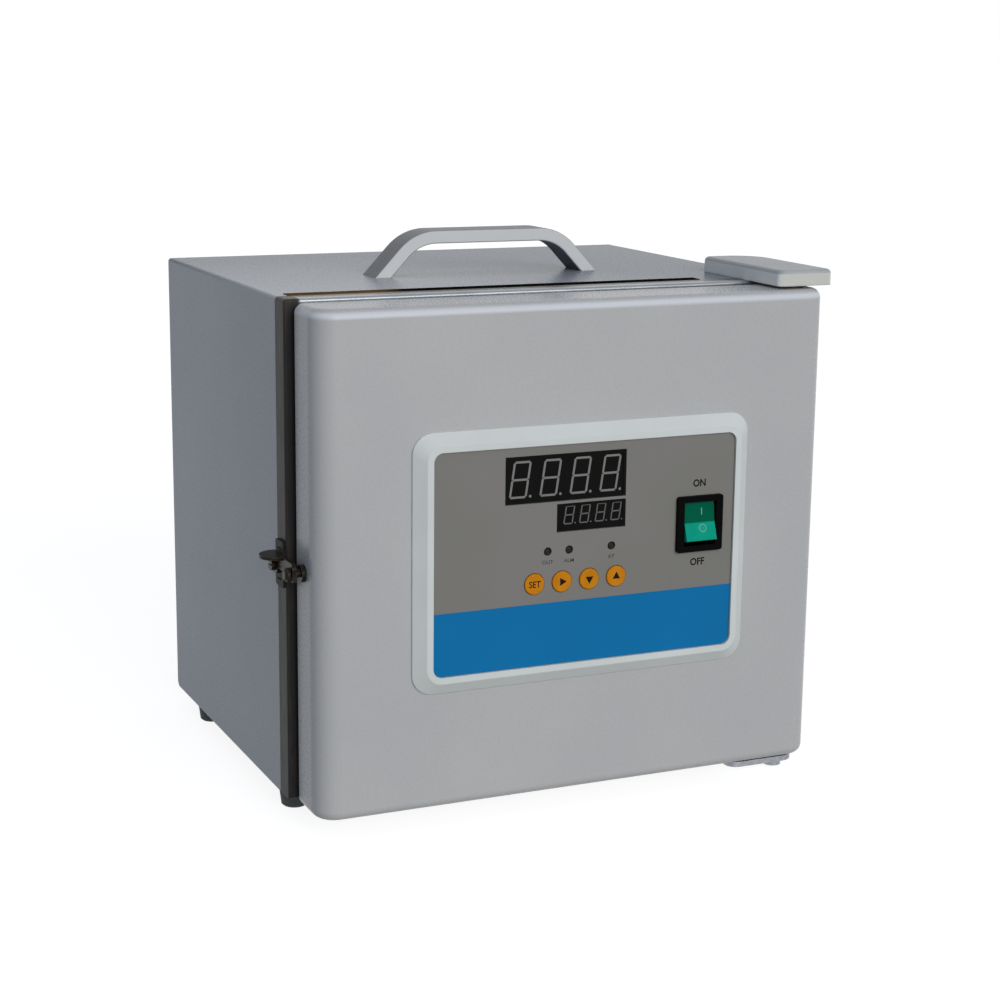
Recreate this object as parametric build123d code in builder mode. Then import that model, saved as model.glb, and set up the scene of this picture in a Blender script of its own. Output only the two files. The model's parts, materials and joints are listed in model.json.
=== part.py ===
from build123d import *
import os
from math import cos, hypot, radians, sin, sqrt, tan

os.makedirs("parts", exist_ok=True)

# Benchtop incubator: an insulated steel cabinet on four feet, with a side-hinged
# door that carries the control panel. Lengths are in millimetres, +Z is up and
# the door faces -Y. The origin is the middle of the whole outline on the bench.

# Cabinet shell and panels
shell_width = 290.0
shell_depth = 200.0
shell_height = 260.0
sheet = 1.0
fold_radius = 2.0
rear_flange = 12.0
base_upturn = 12.0
base_bend_radius = 4.0
panel_gap = 0.3
screw_head_radius = 3.4
screw_head_height = 2.2
screw_radius = 1.5
screw_hole_radius = 1.7
screw_grip = 5.0
screw_tip = 2.0
slot_width = 0.9
slot_depth = 0.9

# Feet
foot_height = 12.0
foot_top_radius = 8.5
foot_bottom_radius = 7.0
foot_side_inset = 11.0
foot_front_inset = 10.0
foot_rear_inset = 36.0
foot_recess_radius = 4.2
foot_recess_depth = 7.0
foot_edge = 1.0

# Steel front frame and chamber
frame_depth = 14.0
liner_sheet = 0.8
frame_edge_radius = 1.4
wall_thickness = 28.0
chamber_depth = 168.0
chamber_corner_radius = 12.0
rib_radius = 3.0
rib_length = 130.0
rib_start = 18.0
rib_top_space = 30.0
rib_first = 60.0
rib_pitch = 50.0
shelf_level = 1
insulation_gap = 0.4
service_gap = 6.0
rear_insulation = 16.0

# Heater, heater cover, probe and shelf
heater_width = 7.0
heater_thickness = 4.0
heater_lift = 8.0
heater_pitch = 44.0
heater_front_inset = 22.0
heater_tail = 24.0
heater_turn_inset = 12.0
heater_bend_radius = 18.0
heater_passes = 4
floor_lift = 17.0
floor_sheet = 1.0
floor_gap = 0.5
floor_slot_length = 30.0
floor_slot_width = 4.0
floor_slot_pitch = 22.0
floor_slot_spread = 48.0
floor_slot_rows = 6
floor_slot_columns = 4
floor_front_inset = 6.0
floor_leg_inset = 14.0
probe_radius = 2.0
probe_tip_edge = 0.8
probe_reach = 42.0
probe_tail = 20.0
probe_offset = 60.0
probe_lift = 135.0
probe_nut_radius = 5.5
probe_nut_height = 4.0
shelf_rim = 4.0
shelf_wire_radius = 1.25
shelf_side_gap = 1.5
shelf_depth = 140.0
shelf_wires = 11
shelf_corner_radius = 8.0
shelf_rest_gap = 0.05

# Carry handle
handle_span = 133.0
handle_height = 24.6
handle_bar = 7.0
handle_width = 20.0
handle_front_inset = 61.0
handle_slope = 47.0
handle_bend_radius = 26.0
handle_offset = -2.0
handle_edge = 0.6
handle_stud_radius = 2.5
handle_stud_length = 5.5
handle_nut_radius = 4.0
handle_nut_height = 3.0

# Rear fittings
inlet_width = 28.0
inlet_height = 22.0
inlet_flange = 2.5
inlet_ear = 11.0
inlet_screw_pitch = 40.0
inlet_body_depth = 18.0
inlet_socket_depth = 15.0
inlet_wall = 2.0
inlet_pin_width = 2.0
inlet_pin_height = 4.0
inlet_pin_reach = 9.0
inlet_pin_spread = 7.0
inlet_pin_drop = 3.0
inlet_tab = 6.0
inlet_cut = 4.0
inlet_side_inset = 60.0
inlet_lift = 45.0
fuse_radius = 6.5
fuse_cap_radius = 8.0
fuse_cap_height = 8.0
fuse_body_depth = 18.0
fuse_grooves = 8
fuse_groove_radius = 0.8
fuse_slot_width = 1.4
fuse_slot_depth = 1.4
fuse_side_inset = 105.0
vent_slot_length = 34.0
vent_slot_width = 3.0
vent_pitch = 8.0
vent_rows = 6
vent_columns = 2
vent_column_pitch = 44.0
vent_drop = 60.0
supply_width = 90.0
supply_height = 60.0
supply_board = 1.6
supply_post = 6.0
supply_lift = 120.0
supply_post_radius = 3.0
supply_post_inset = 5.0
coil_size = 34.0
coil_height = 16.0
coil_offset = 20.0
capacitor_radius = 5.0
capacitor_height = 14.0
capacitor_pitch = 14.0
capacitor_offset = -24.0

# Door
door_offset = 3.5
door_overhang = 2.0
door_drop = 1.4
door_thickness = 31.4
door_side_radius = 12.5
door_edge_radius = 5.0
door_sheet = 1.0
door_emboss = 4.0
door_emboss_inset = 4.0
tray_edge = 1.2
gasket_width = 12.0
gasket_inset = 1.5
gasket_clearance = 0.3
gasket_corner_radius = 6.0
gasket_edge = 1.5
gasket_hinge_gap = 0.5

# Door hinge
pin_side_inset = 15.0
pin_back_inset = 17.0
swing_clearance = 0.35
pin_radius = 3.0
pin_clearance = 0.05
pin_engagement = 12.0
bush_radius = 5.0
bush_flange_radius = 6.5
bush_flange = 0.6
bush_tail = 1.5
hinge_gap = 0.5
hinge_plate = 3.0
top_plate_radius = 6.0
top_plate_reach = 40.0
top_plate_width = 18.0
top_plate_start = 4.0
top_screw_spread = 10.0
top_screw_first = 8.0
top_screw_second = 20.0
top_pin_head_radius = 5.0
top_pin_head = 2.0
low_plate_width = 42.0
low_plate_nose = 9.0
low_plate_side = 10.0
low_plate_corner = 6.0
low_joggle_start = 1.0
low_joggle_run = 2.5
low_screw_inset = 6.0
low_screw_setback = 4.5
low_pin_head_radius = 4.8
low_pin_head = 4.0
cover_width = 33.0
cover_length = 84.0
cover_height = 8.5
cover_wall = 2.0
cover_nose_gap = 0.5
cover_overhang = 8.0
cover_rear_radius = 20.0
cover_corner_radius = 4.0
cover_edge_radius = 2.5

# Control panel on the door
panel_width = 191.0
panel_height = 135.0
panel_radius = 11.0
panel_offset_x = 3.6
panel_offset_z = -1.7
panel_edge = 1.0
panel_rise = 6.0
panel_slope = 6.2
panel_lip = 3.4
panel_lip_depth = 1.4
panel_web = 2.0
panel_skirt = 5.0
panel_skirt_wall = 2.0
panel_skirt_inset = 12.0
panel_skirt_radius = 4.0
overlay_sheet = 1.0
overlay_gap = 0.2
overlay_radius = 5.0
window_gap = 0.3
pocket_depth = 24.0
pocket_margin = 2.0

# Displays, lamps and keys, each placed across from the panel's centre and down from the one above
display_large_width = 67.8
display_large_height = 24.1
display_large_x = -12.5
display_top_space = 14.85
display_small_width = 38.8
display_small_height = 14.2
display_small_x = 2.1
display_small_drop = 21.2
display_depth = 8.0
display_recess = 0.3
display_border = 1.2
display_step = 0.4
lamp_radius = 1.9
lamp_drop = 17.0
lamp_places = (-22.5, -10.3, 14.0)
lamp_proud = 0.3
lamp_edge = 0.8
key_radius = 5.5
key_flange_radius = 6.6
key_proud = 0.8
key_flange = 1.0
key_rest_gap = 0.05
key_edge = 0.4
key_travel = 0.5
key_stem_radius = 2.0
key_stem = 1.2
key_drop = 16.5
key_first_x = -29.9
key_pitch = 15.6
key_names = ("key_mode", "key_shift", "key_down", "key_up")
board_sheet = 1.6
board_width = 92.0
board_height = 81.0
board_x = -7.0
board_drop = 28.6
board_post_radius = 2.5
board_post_inset = 3.5
button_size = 6.0
plunger_size = 3.0
button_body = 2.0
button_end_gap = 0.05
chip_size = 12.0
chip_height = 2.0
chip_drop = 26.0
terminal_width = 40.0
terminal_height = 8.0
terminal_depth = 9.0
terminal_rise = 32.0

# Rocker switch
switch_width = 27.0
switch_height = 30.0
switch_x = 65.2
switch_z = 10.2
switch_flange = 2.2
switch_body_depth = 20.0
switch_body_wall = 1.5
switch_side_gap = 0.5
switch_corner_radius = 1.5
terminal_blade = 0.8
blade_width = 6.3
blade_length = 6.0
blade_pitch = 8.0
rocker_width = 18.0
rocker_half = 10.2
rocker_crease = 4.6
rocker_dish = 6.0
rocker_throw = 13.0
rocker_pivot_radius = 1.5
rocker_pivot_depth = 5.5
rocker_pivot_length = 1.7
rocker_skirt = 1.0
rocker_keel = 4.0
rocker_keel_half = 4.0
rocker_end_gap = 0.5

# Latch on the left side
latch_height = 125.0
latch_base_width = 12.0
latch_base_height = 24.0
latch_screw_pitch = 16.0
latch_base_sheet = 1.5
latch_pivot_setback = 7.0
latch_pivot_radius = 2.0
latch_gap = 0.5
latch_plate = 2.0
latch_boss_radius = 5.0
latch_cap_radius = 3.3
latch_cap = 2.4
latch_arm = 7.0
latch_tab_length = 18.0
latch_tab_width = 9.0
latch_tab_sheet = 1.6
latch_tab_shift = 3.5
latch_nose_radius = 3.0
latch_hook_gap = 0.15
latch_cap_gap = 0.1
latch_pivot_tip = 2.0
latch_screw_head = 2.8
latch_hook_drop = 1.0
latch_hook_wall = 2.6
latch_hook_depth = 3.2
stud_setback = 11.0
stud_neck_radius = 2.0
stud_flange_radius = 4.5
stud_flange = 2.4
stud_head_radius = 3.6
stud_head = 2.6
stud_shank = 4.0
stud_head_edge = 1.2

# Heights and depths that follow from the sizes above
base_z = foot_height
top_z = base_z + shell_height
mid_z = base_z + shell_height / 2
swing_radius = hypot(pin_side_inset, pin_back_inset)
door_gap = swing_radius - pin_back_inset + swing_clearance
overlay_depth = panel_rise - panel_lip_depth
switch_front_depth = overlay_depth + switch_flange
rocker_throw_rad = radians(rocker_throw)
rocker_end = rocker_crease + rocker_half * tan(radians(rocker_dish))
rocker_tip = rocker_end * cos(rocker_throw_rad) + rocker_half * sin(rocker_throw_rad)
rocker_reach = switch_front_depth - rocker_pivot_depth + rocker_tip
front_reach = frame_depth + door_gap + door_thickness + rocker_reach
latch_reach = latch_base_sheet + latch_gap + latch_plate + latch_tab_width

# Planes of the cabinet and of the door, from the origin under the middle
total_width = latch_reach + shell_width + cover_overhang
total_depth = front_reach + shell_depth + fuse_cap_height
left = latch_reach - total_width / 2
right = left + shell_width
mid_x = left + shell_width / 2
front = front_reach - total_depth / 2
rear = front + shell_depth
frame_front = front - frame_depth
door_back = frame_front - door_gap
door_front = door_back - door_thickness
door_left = left + door_offset
door_right = right + door_overhang
door_width = door_right - door_left
door_top = top_z - door_drop
door_bottom = base_z - door_drop
door_height = door_top - door_bottom
door_mid_x = door_left + door_width / 2
door_mid_z = door_bottom + door_height / 2
pin_x = door_right - pin_side_inset
pin_y = door_back - pin_back_inset

# Chamber planes
chamber_width = shell_width - 2 * wall_thickness
chamber_height = shell_height - 2 * wall_thickness
chamber_left = left + wall_thickness
chamber_right = chamber_left + chamber_width
chamber_floor = base_z + wall_thickness
chamber_front = frame_front + liner_sheet
chamber_back = frame_front + chamber_depth
insulation_back = chamber_back + liner_sheet + insulation_gap + rear_insulation
rib_levels = int((chamber_height - rib_first - rib_top_space) / rib_pitch) + 1
rib_heights = [chamber_floor + rib_first + level * rib_pitch for level in range(rib_levels)]

# Rear fittings and screws
back_width = shell_width - 2 * sheet
back_height = shell_height - sheet - base_upturn
back_mid_z = base_z + base_upturn + back_height / 2
back_screw_x = back_width / 2 - rear_flange / 2
back_screw_z = back_height / 2 - rear_flange / 2
back_screw_offsets = [
    (x, z) for x in (-back_screw_x, back_screw_x) for z in (-back_screw_z, 0, back_screw_z)
]
inlet_x = left + inlet_side_inset
inlet_z = base_z + inlet_lift
fuse_x = left + fuse_side_inset
vent_z = top_z - vent_drop
supply_z = base_z + supply_lift
supply_y = rear - sheet - supply_post

# Feet, one at each corner of the base
foot_places = {
    "foot_front_left": (left + foot_side_inset, front + foot_front_inset),
    "foot_front_right": (right - foot_side_inset, front + foot_front_inset),
    "foot_rear_left": (left + foot_side_inset, rear - foot_rear_inset),
    "foot_rear_right": (right - foot_side_inset, rear - foot_rear_inset),
}

# Heater, false floor, probe and shelf
heater_z = chamber_floor + heater_lift
heater_first_x = mid_x - heater_pitch * (heater_passes - 1) / 2
heater_x = [heater_first_x + heater_pitch * turn for turn in range(heater_passes)]
heater_front_y = frame_front + heater_front_inset
heater_turn_y = chamber_back - heater_turn_inset
heater_end_y = chamber_back + heater_tail
floor_front_y = frame_front + floor_front_inset
floor_back_y = chamber_back - floor_gap
floor_top = chamber_floor + floor_lift
probe_x = mid_x + probe_offset
probe_z = chamber_floor + probe_lift
shelf_rise = sqrt(rib_radius ** 2 - shelf_side_gap ** 2) + shelf_rim / 2
shelf_z = rib_heights[shelf_level] + shelf_rise + shelf_rest_gap
shelf_half_width = chamber_width / 2 - shelf_side_gap - shelf_rim / 2
shelf_mid_y = frame_front + rib_start + rib_length / 2
shelf_half_depth = shelf_depth / 2 - shelf_rim / 2
shelf_wire_pitch = 2 * shelf_half_width / (shelf_wires + 1)

# Carry handle
handle_mid_y = front + handle_front_inset + handle_width / 2
handle_foot = handle_bar / sin(radians(handle_slope))
handle_lean = handle_height / tan(radians(handle_slope))
handle_inner_lean = (handle_height - handle_bar) / tan(radians(handle_slope))
handle_left = mid_x + handle_offset - handle_span / 2
handle_right = handle_left + handle_span
handle_stud_x = (handle_left + handle_foot / 2, handle_right - handle_foot / 2)

# Hinge
low_plate_top = door_bottom - bush_flange - hinge_gap
low_plate_right = pin_x + low_plate_side
low_plate_left = low_plate_right - low_plate_width
low_screw_y = front - low_screw_setback
low_screw_places = [
    (low_plate_left + low_screw_inset, low_screw_y),
    ((low_plate_left + low_plate_right) / 2, low_screw_y),
    (low_plate_right - low_screw_inset, low_screw_y),
]
top_screw_places = [
    (pin_x - top_screw_spread / 2, front + top_screw_first),
    (pin_x + top_screw_spread / 2, front + top_screw_first),
    (pin_x, front + top_screw_second),
]
bush_length = pin_engagement + bush_tail
bush_bore = pin_radius + pin_clearance
cover_right = right + cover_overhang
cover_front_y = pin_y - top_plate_radius - cover_nose_gap - cover_wall
cover_rear_y = cover_front_y + cover_length

# Control panel, from its centre on the door's front
panel_centre = (mid_x + panel_offset_x, mid_z + panel_offset_z)
overlay_width = panel_width - 2 * (panel_slope + panel_lip)
overlay_height = panel_height - 2 * (panel_slope + panel_lip)
web_front = overlay_depth - overlay_sheet
web_back = web_front - panel_web
skirt_width = panel_width - 2 * panel_skirt_inset
skirt_height = panel_height - 2 * panel_skirt_inset
display_front = overlay_depth - display_recess
board_front = display_front - display_depth
display_large_z = panel_height / 2 - display_top_space - display_large_height / 2
display_small_z = display_large_z - display_small_drop
lamp_z = display_small_z - lamp_drop
key_z = lamp_z - key_drop
board_z = display_large_z - board_drop
lamp_spots = [(x, lamp_z) for x in lamp_places]
key_spots = {name: (key_first_x + key_pitch * index, key_z) for index, name in enumerate(key_names)}
key_back = web_back - key_rest_gap
key_end = key_back - key_flange - key_stem
button_height = key_end - key_travel - button_end_gap - board_front
board_post_x = board_width / 2 - board_post_inset
board_post_z = board_height / 2 - board_post_inset

# Rocker switch
rocker_swing = rocker_half * cos(rocker_throw_rad) + rocker_end * sin(rocker_throw_rad)
switch_cavity_width = rocker_width + 2 * switch_side_gap
switch_cavity_height = 2 * (rocker_swing + rocker_end_gap)
switch_body_width = switch_cavity_width + 2 * switch_body_wall
switch_body_height = switch_cavity_height + 2 * switch_body_wall
switch_back = switch_front_depth - switch_body_depth
rocker_depth = rocker_keel * cos(rocker_throw_rad) + rocker_keel_half * sin(rocker_throw_rad)
switch_cavity_depth = rocker_pivot_depth + rocker_depth + rocker_end_gap
switch_centre_x = panel_centre[0] + switch_x
switch_centre_z = panel_centre[1] + switch_z
rocker_pivot_y = door_front - switch_front_depth + rocker_pivot_depth

# Latch
latch_y = front - latch_pivot_setback
latch_z = base_z + latch_height
latch_screw_z = (latch_z - latch_screw_pitch / 2, latch_z + latch_screw_pitch / 2)
latch_inner_x = left - latch_base_sheet - latch_gap
latch_outer_x = latch_inner_x - latch_plate
stud_y = door_back - stud_setback
hook_radius = stud_neck_radius + latch_hook_gap
hook_end = hook_radius + latch_hook_wall
latch_top = latch_z + latch_arm - latch_hook_drop
tab_y = latch_y - latch_tab_shift

BOTTOM = (Align.CENTER, Align.CENTER, Align.MIN)
TOP = (Align.CENTER, Align.CENTER, Align.MAX)


def facing(y):
    """Plane at depth y, seen from the front: local x is X and local y is Z."""
    return Plane.XZ.offset(-y)


def backing(y):
    """Plane at depth y, seen from behind: its normal points to +Y."""
    return Plane(origin=(0, y, 0), x_dir=(-1, 0, 0), z_dir=(0, 1, 0))


def under(z):
    """Plane at height z, seen from below: local x is X and local y is -Y."""
    return Plane(origin=(0, 0, z), x_dir=(1, 0, 0), z_dir=(0, 0, -1))


def left_of(x):
    """Plane at x, seen from the left: local x is -Y and local y is Z."""
    return Plane(origin=(x, 0, 0), x_dir=(0, -1, 0), z_dir=(-1, 0, 0))


def ahead(distance):
    """Plane in front of the door's face, seen from the front."""
    return facing(door_front - distance)


def hex_screws(plane, spots, shank_length):
    """Hexagon heads on a plane with their shanks behind it, one at each spot."""
    with BuildPart() as screws:
        with BuildSketch(plane):
            with Locations(*spots):
                RegularPolygon(screw_head_radius, 6)
        extrude(amount=screw_head_height)
        with BuildSketch(plane):
            with Locations(*spots):
                Circle(screw_radius)
        extrude(amount=-shank_length)
    return screws.part


# Outer shell: left side, top and right side folded from one painted sheet
with BuildPart() as cabinet_shell:
    with BuildSketch(facing(front)) as shell_outline:
        with Locations((mid_x, mid_z)):
            Rectangle(shell_width, shell_height)
        with Locations((mid_x, mid_z - sheet / 2)):
            Rectangle(shell_width - 2 * sheet, shell_height - sheet, mode=Mode.SUBTRACT)
        fillet(shell_outline.vertices().group_by(Axis.Y)[-1], fold_radius)
    extrude(amount=-shell_depth)
    lower_edges = cabinet_shell.edges().filter_by(Axis.X).group_by(Axis.Z)[0]
    fillet(lower_edges.group_by(Axis.Y)[-1], base_bend_radius)
    with BuildSketch(facing(rear - sheet)):
        with Locations((mid_x, back_mid_z)):
            Rectangle(back_width, back_height)
            Rectangle(
                back_width - 2 * rear_flange,
                back_height - 2 * rear_flange,
                mode=Mode.SUBTRACT,
            )
            with Locations(*back_screw_offsets):
                Circle(screw_hole_radius, mode=Mode.SUBTRACT)
    extrude(amount=sheet)
    with BuildSketch(Plane.XY.offset(top_z)):
        with Locations(*[(x, handle_mid_y) for x in handle_stud_x]):
            Circle(handle_stud_radius + panel_gap)
        with Locations(*top_screw_places):
            Circle(screw_hole_radius)
    extrude(amount=-sheet, mode=Mode.SUBTRACT)
cabinet_shell.part.label = "cabinet_shell"
export_step(cabinet_shell.part, "parts/cabinet_shell.step")

# Base: a tray that closes the bottom and turns up behind, inside the shell
with BuildPart() as base_panel:
    with BuildSketch(Plane.YZ.offset(left + sheet)) as base_profile:
        with BuildLine():
            Polyline(
                (front, base_z),
                (rear, base_z),
                (rear, base_z + base_upturn),
                (rear - sheet, base_z + base_upturn),
                (rear - sheet, base_z + sheet),
                (front, base_z + sheet),
                close=True,
            )
        make_face()
        fillet(base_profile.vertices().sort_by_distance((rear, base_z))[0], base_bend_radius)
        inner_bend = base_profile.vertices().sort_by_distance((rear - sheet, base_z + sheet))[0]
        fillet(inner_bend, base_bend_radius - sheet)
    extrude(amount=back_width)
    with BuildSketch(Plane.XY.offset(base_z)):
        with Locations(*foot_places.values()):
            Circle(screw_hole_radius)
    extrude(amount=sheet, mode=Mode.SUBTRACT)
base_panel.part.label = "base_panel"
export_step(base_panel.part, "parts/base_panel.step")

# Back panel: a flat sheet with vent slots and the holes for the mains fittings
with BuildPart() as back_panel:
    with BuildSketch(backing(rear - sheet)):
        with Locations((-mid_x, back_mid_z)):
            Rectangle(back_width - 2 * panel_gap, back_height - 2 * panel_gap)
            with Locations(*back_screw_offsets):
                Circle(screw_hole_radius, mode=Mode.SUBTRACT)
        with Locations((-mid_x, vent_z)):
            with GridLocations(vent_column_pitch, vent_pitch, vent_columns, vent_rows):
                Rectangle(vent_slot_length, vent_slot_width, mode=Mode.SUBTRACT)
        with Locations((-inlet_x, inlet_z)):
            Rectangle(
                inlet_width + 2 * panel_gap, inlet_height + 2 * panel_gap, mode=Mode.SUBTRACT
            )
            with GridLocations(inlet_screw_pitch, 1, 2, 1):
                Circle(screw_hole_radius, mode=Mode.SUBTRACT)
        with Locations((-fuse_x, inlet_z)):
            Circle(fuse_radius + panel_gap, mode=Mode.SUBTRACT)
    extrude(amount=sheet)
back_panel.part.label = "back_panel"
export_step(back_panel.part, "parts/back_panel.step")

back_screws = hex_screws(
    backing(rear), [(x - mid_x, back_mid_z + z) for x, z in back_screw_offsets], screw_grip
)
back_screws.label = "back_screws"
export_step(back_screws, "parts/back_screws.step")

# Feet: tapered rubber with a recess for the screw
for foot_name, foot_place in foot_places.items():
    with BuildPart() as foot:
        with Locations(foot_place):
            Cone(foot_bottom_radius, foot_top_radius, foot_height, align=BOTTOM)
            Cylinder(foot_recess_radius, foot_recess_depth, align=BOTTOM, mode=Mode.SUBTRACT)
            Cylinder(screw_hole_radius, foot_height, align=BOTTOM, mode=Mode.SUBTRACT)
        tread = foot.edges().filter_by(GeomType.CIRCLE).group_by(Axis.Z)[0]
        chamfer(tread.sort_by(SortBy.RADIUS)[-1], foot_edge)
    foot.part.label = foot_name
    export_step(foot.part, f"parts/{foot_name}.step")

foot_screws = hex_screws(
    under(foot_recess_depth),
    [(x, -y) for x, y in foot_places.values()],
    foot_height - foot_recess_depth + sheet + screw_tip,
)
foot_screws.label = "foot_screws"
export_step(foot_screws, "parts/foot_screws.step")

# Front frame: a polished steel collar round the chamber's mouth
with BuildPart() as front_frame:
    with BuildSketch(facing(front)) as frame_outline:
        with Locations((mid_x, mid_z)):
            Rectangle(shell_width, shell_height)
        fillet(frame_outline.vertices().group_by(Axis.Y)[-1], fold_radius)
    extrude(amount=frame_depth)
    fillet(front_frame.faces().sort_by(Axis.Y)[0].edges(), frame_edge_radius)
    with BuildSketch(facing(front)):
        with Locations((mid_x, mid_z)):
            Rectangle(shell_width - 2 * liner_sheet, shell_height - 2 * liner_sheet)
    extrude(amount=frame_depth - liner_sheet, mode=Mode.SUBTRACT)
    with BuildSketch(facing(frame_front)):
        with Locations((mid_x, mid_z)):
            RectangleRounded(chamber_width, chamber_height, chamber_corner_radius)
    extrude(amount=-liner_sheet, mode=Mode.SUBTRACT)
    with BuildSketch(left_of(left)):
        with Locations(*[(-latch_y, z) for z in latch_screw_z]):
            Circle(screw_hole_radius)
        with Locations((-latch_y, latch_z)):
            Circle(latch_pivot_radius)
    extrude(amount=-liner_sheet, mode=Mode.SUBTRACT)
    with BuildSketch(Plane.XY.offset(base_z)):
        with Locations(*low_screw_places):
            Circle(screw_hole_radius)
    extrude(amount=liner_sheet, mode=Mode.SUBTRACT)
front_frame.part.label = "front_frame"
export_step(front_frame.part, "parts/front_frame.step")

# Chamber: a seamless steel box with ribs on both walls that carry the shelf
with BuildPart() as chamber_liner:
    with BuildSketch(facing(chamber_front)):
        with Locations((mid_x, mid_z)):
            RectangleRounded(
                chamber_width + 2 * liner_sheet,
                chamber_height + 2 * liner_sheet,
                chamber_corner_radius + liner_sheet,
            )
    extrude(amount=-(chamber_back + liner_sheet - chamber_front))
    with BuildSketch(facing(chamber_front)):
        with Locations((mid_x, mid_z)):
            RectangleRounded(chamber_width, chamber_height, chamber_corner_radius)
    extrude(amount=-(chamber_back - chamber_front), mode=Mode.SUBTRACT)
    with BuildSketch(facing(frame_front + rib_start)):
        for rib_z in rib_heights:
            with Locations((chamber_left, rib_z), (chamber_right, rib_z)):
                Circle(rib_radius)
        with Locations((mid_x, mid_z)):
            Rectangle(chamber_width, chamber_height, mode=Mode.INTERSECT)
    extrude(amount=-rib_length)
    with BuildSketch(facing(chamber_back)):
        with Locations(*[(x, heater_z) for x in (heater_x[0], heater_x[-1])]):
            Rectangle(heater_width + 2 * panel_gap, heater_thickness + 2 * panel_gap)
        with Locations((probe_x, probe_z)):
            Circle(probe_radius + panel_gap)
    extrude(amount=-liner_sheet, mode=Mode.SUBTRACT)
chamber_liner.part.label = "chamber_liner"
export_step(chamber_liner.part, "parts/chamber_liner.step")

# Insulation between the chamber and the shell
with BuildPart() as cabinet_insulation:
    with BuildSketch(facing(chamber_front + insulation_gap)):
        with Locations((mid_x, mid_z)):
            Rectangle(
                shell_width - 2 * sheet - 2 * service_gap,
                shell_height - 2 * sheet - 2 * service_gap,
            )
    extrude(amount=-(insulation_back - chamber_front - insulation_gap))
    with BuildSketch(facing(chamber_front + insulation_gap)):
        with Locations((mid_x, mid_z)):
            RectangleRounded(
                chamber_width + 2 * liner_sheet + 2 * insulation_gap,
                chamber_height + 2 * liner_sheet + 2 * insulation_gap,
                chamber_corner_radius + liner_sheet + insulation_gap,
            )
    extrude(amount=-(chamber_back + liner_sheet - chamber_front), mode=Mode.SUBTRACT)
    with BuildSketch(facing(insulation_back)):
        with Locations(*[(x, heater_z) for x in (heater_x[0], heater_x[-1])]):
            Rectangle(heater_width + 2 * insulation_gap, heater_thickness + 2 * insulation_gap)
        with Locations((probe_x, probe_z)):
            Circle(probe_radius + insulation_gap)
    extrude(amount=rear_insulation, mode=Mode.SUBTRACT)
cabinet_insulation.part.label = "cabinet_insulation"
export_step(cabinet_insulation.part, "parts/cabinet_insulation.step")

# Heater: one flat metal-sheathed strip in four passes, its ends out through the back
with BuildPart() as heater_element:
    with BuildLine(Plane.XY.offset(heater_z)):
        heater_path = FilletPolyline(
            (heater_x[0], heater_end_y),
            (heater_x[0], heater_front_y),
            (heater_x[1], heater_front_y),
            (heater_x[1], heater_turn_y),
            (heater_x[2], heater_turn_y),
            (heater_x[2], heater_front_y),
            (heater_x[3], heater_front_y),
            (heater_x[3], heater_end_y),
            radius=heater_bend_radius,
        )
    with BuildSketch(Plane(origin=heater_path @ 0, z_dir=heater_path % 0)):
        Rectangle(heater_width, heater_thickness)
    sweep()
heater_element.part.label = "heater_element"
export_step(heater_element.part, "parts/heater_element.step")

# False floor over the heater: a slotted plate on two folded legs
with BuildPart() as chamber_floor_plate:
    with BuildSketch(facing(floor_front_y)):
        with Locations((mid_x, floor_top)):
            Rectangle(chamber_width - 2 * floor_gap, floor_sheet, align=(Align.CENTER, Align.MAX))
        for side in (-1, 1):
            with Locations((mid_x + side * (chamber_width / 2 - floor_leg_inset), chamber_floor)):
                Rectangle(floor_sheet, floor_lift, align=(Align.CENTER, Align.MIN))
    extrude(amount=floor_front_y - floor_back_y)
    with BuildSketch(Plane.XY.offset(floor_top)):
        with Locations((mid_x, (floor_front_y + floor_back_y) / 2)):
            with GridLocations(floor_slot_spread, floor_slot_pitch, floor_slot_columns, floor_slot_rows):
                Rectangle(floor_slot_length, floor_slot_width)
    extrude(amount=-floor_sheet, mode=Mode.SUBTRACT)
chamber_floor_plate.part.label = "chamber_floor_plate"
export_step(chamber_floor_plate.part, "parts/chamber_floor_plate.step")

# Temperature probe through the back wall, with its hexagon nut
with BuildPart() as temperature_probe:
    with BuildSketch(facing(chamber_back)):
        with Locations((probe_x, probe_z)):
            RegularPolygon(probe_nut_radius, 6)
    extrude(amount=probe_nut_height)
    with BuildSketch(facing(chamber_back - probe_reach)):
        with Locations((probe_x, probe_z)):
            Circle(probe_radius)
    extrude(amount=-(probe_reach + liner_sheet + probe_tail))
    probe_tip = temperature_probe.edges().filter_by(GeomType.CIRCLE).sort_by(Axis.Y)[0]
    chamfer(probe_tip, probe_tip_edge)
temperature_probe.part.label = "temperature_probe"
export_step(temperature_probe.part, "parts/temperature_probe.step")

# Shelf: a rim bent from square bar with round wires welded into it
with BuildPart() as wire_shelf:
    with BuildLine(Plane.XY.offset(shelf_z)):
        rim_path = FilletPolyline(
            (mid_x + shelf_half_width, shelf_mid_y - shelf_half_depth),
            (mid_x + shelf_half_width, shelf_mid_y + shelf_half_depth),
            (mid_x - shelf_half_width, shelf_mid_y + shelf_half_depth),
            (mid_x - shelf_half_width, shelf_mid_y - shelf_half_depth),
            radius=shelf_corner_radius,
            close=True,
        )
    with BuildSketch(Plane(origin=rim_path @ 0, z_dir=rim_path % 0)):
        Rectangle(shelf_rim, shelf_rim)
    sweep()
    with BuildSketch(facing(shelf_mid_y - shelf_half_depth)):
        with Locations((mid_x, shelf_z)):
            with GridLocations(shelf_wire_pitch, 1, shelf_wires, 1):
                Circle(shelf_wire_radius)
    extrude(amount=-2 * shelf_half_depth)
wire_shelf.part.label = "wire_shelf"
export_step(wire_shelf.part, "parts/wire_shelf.step")

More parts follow.
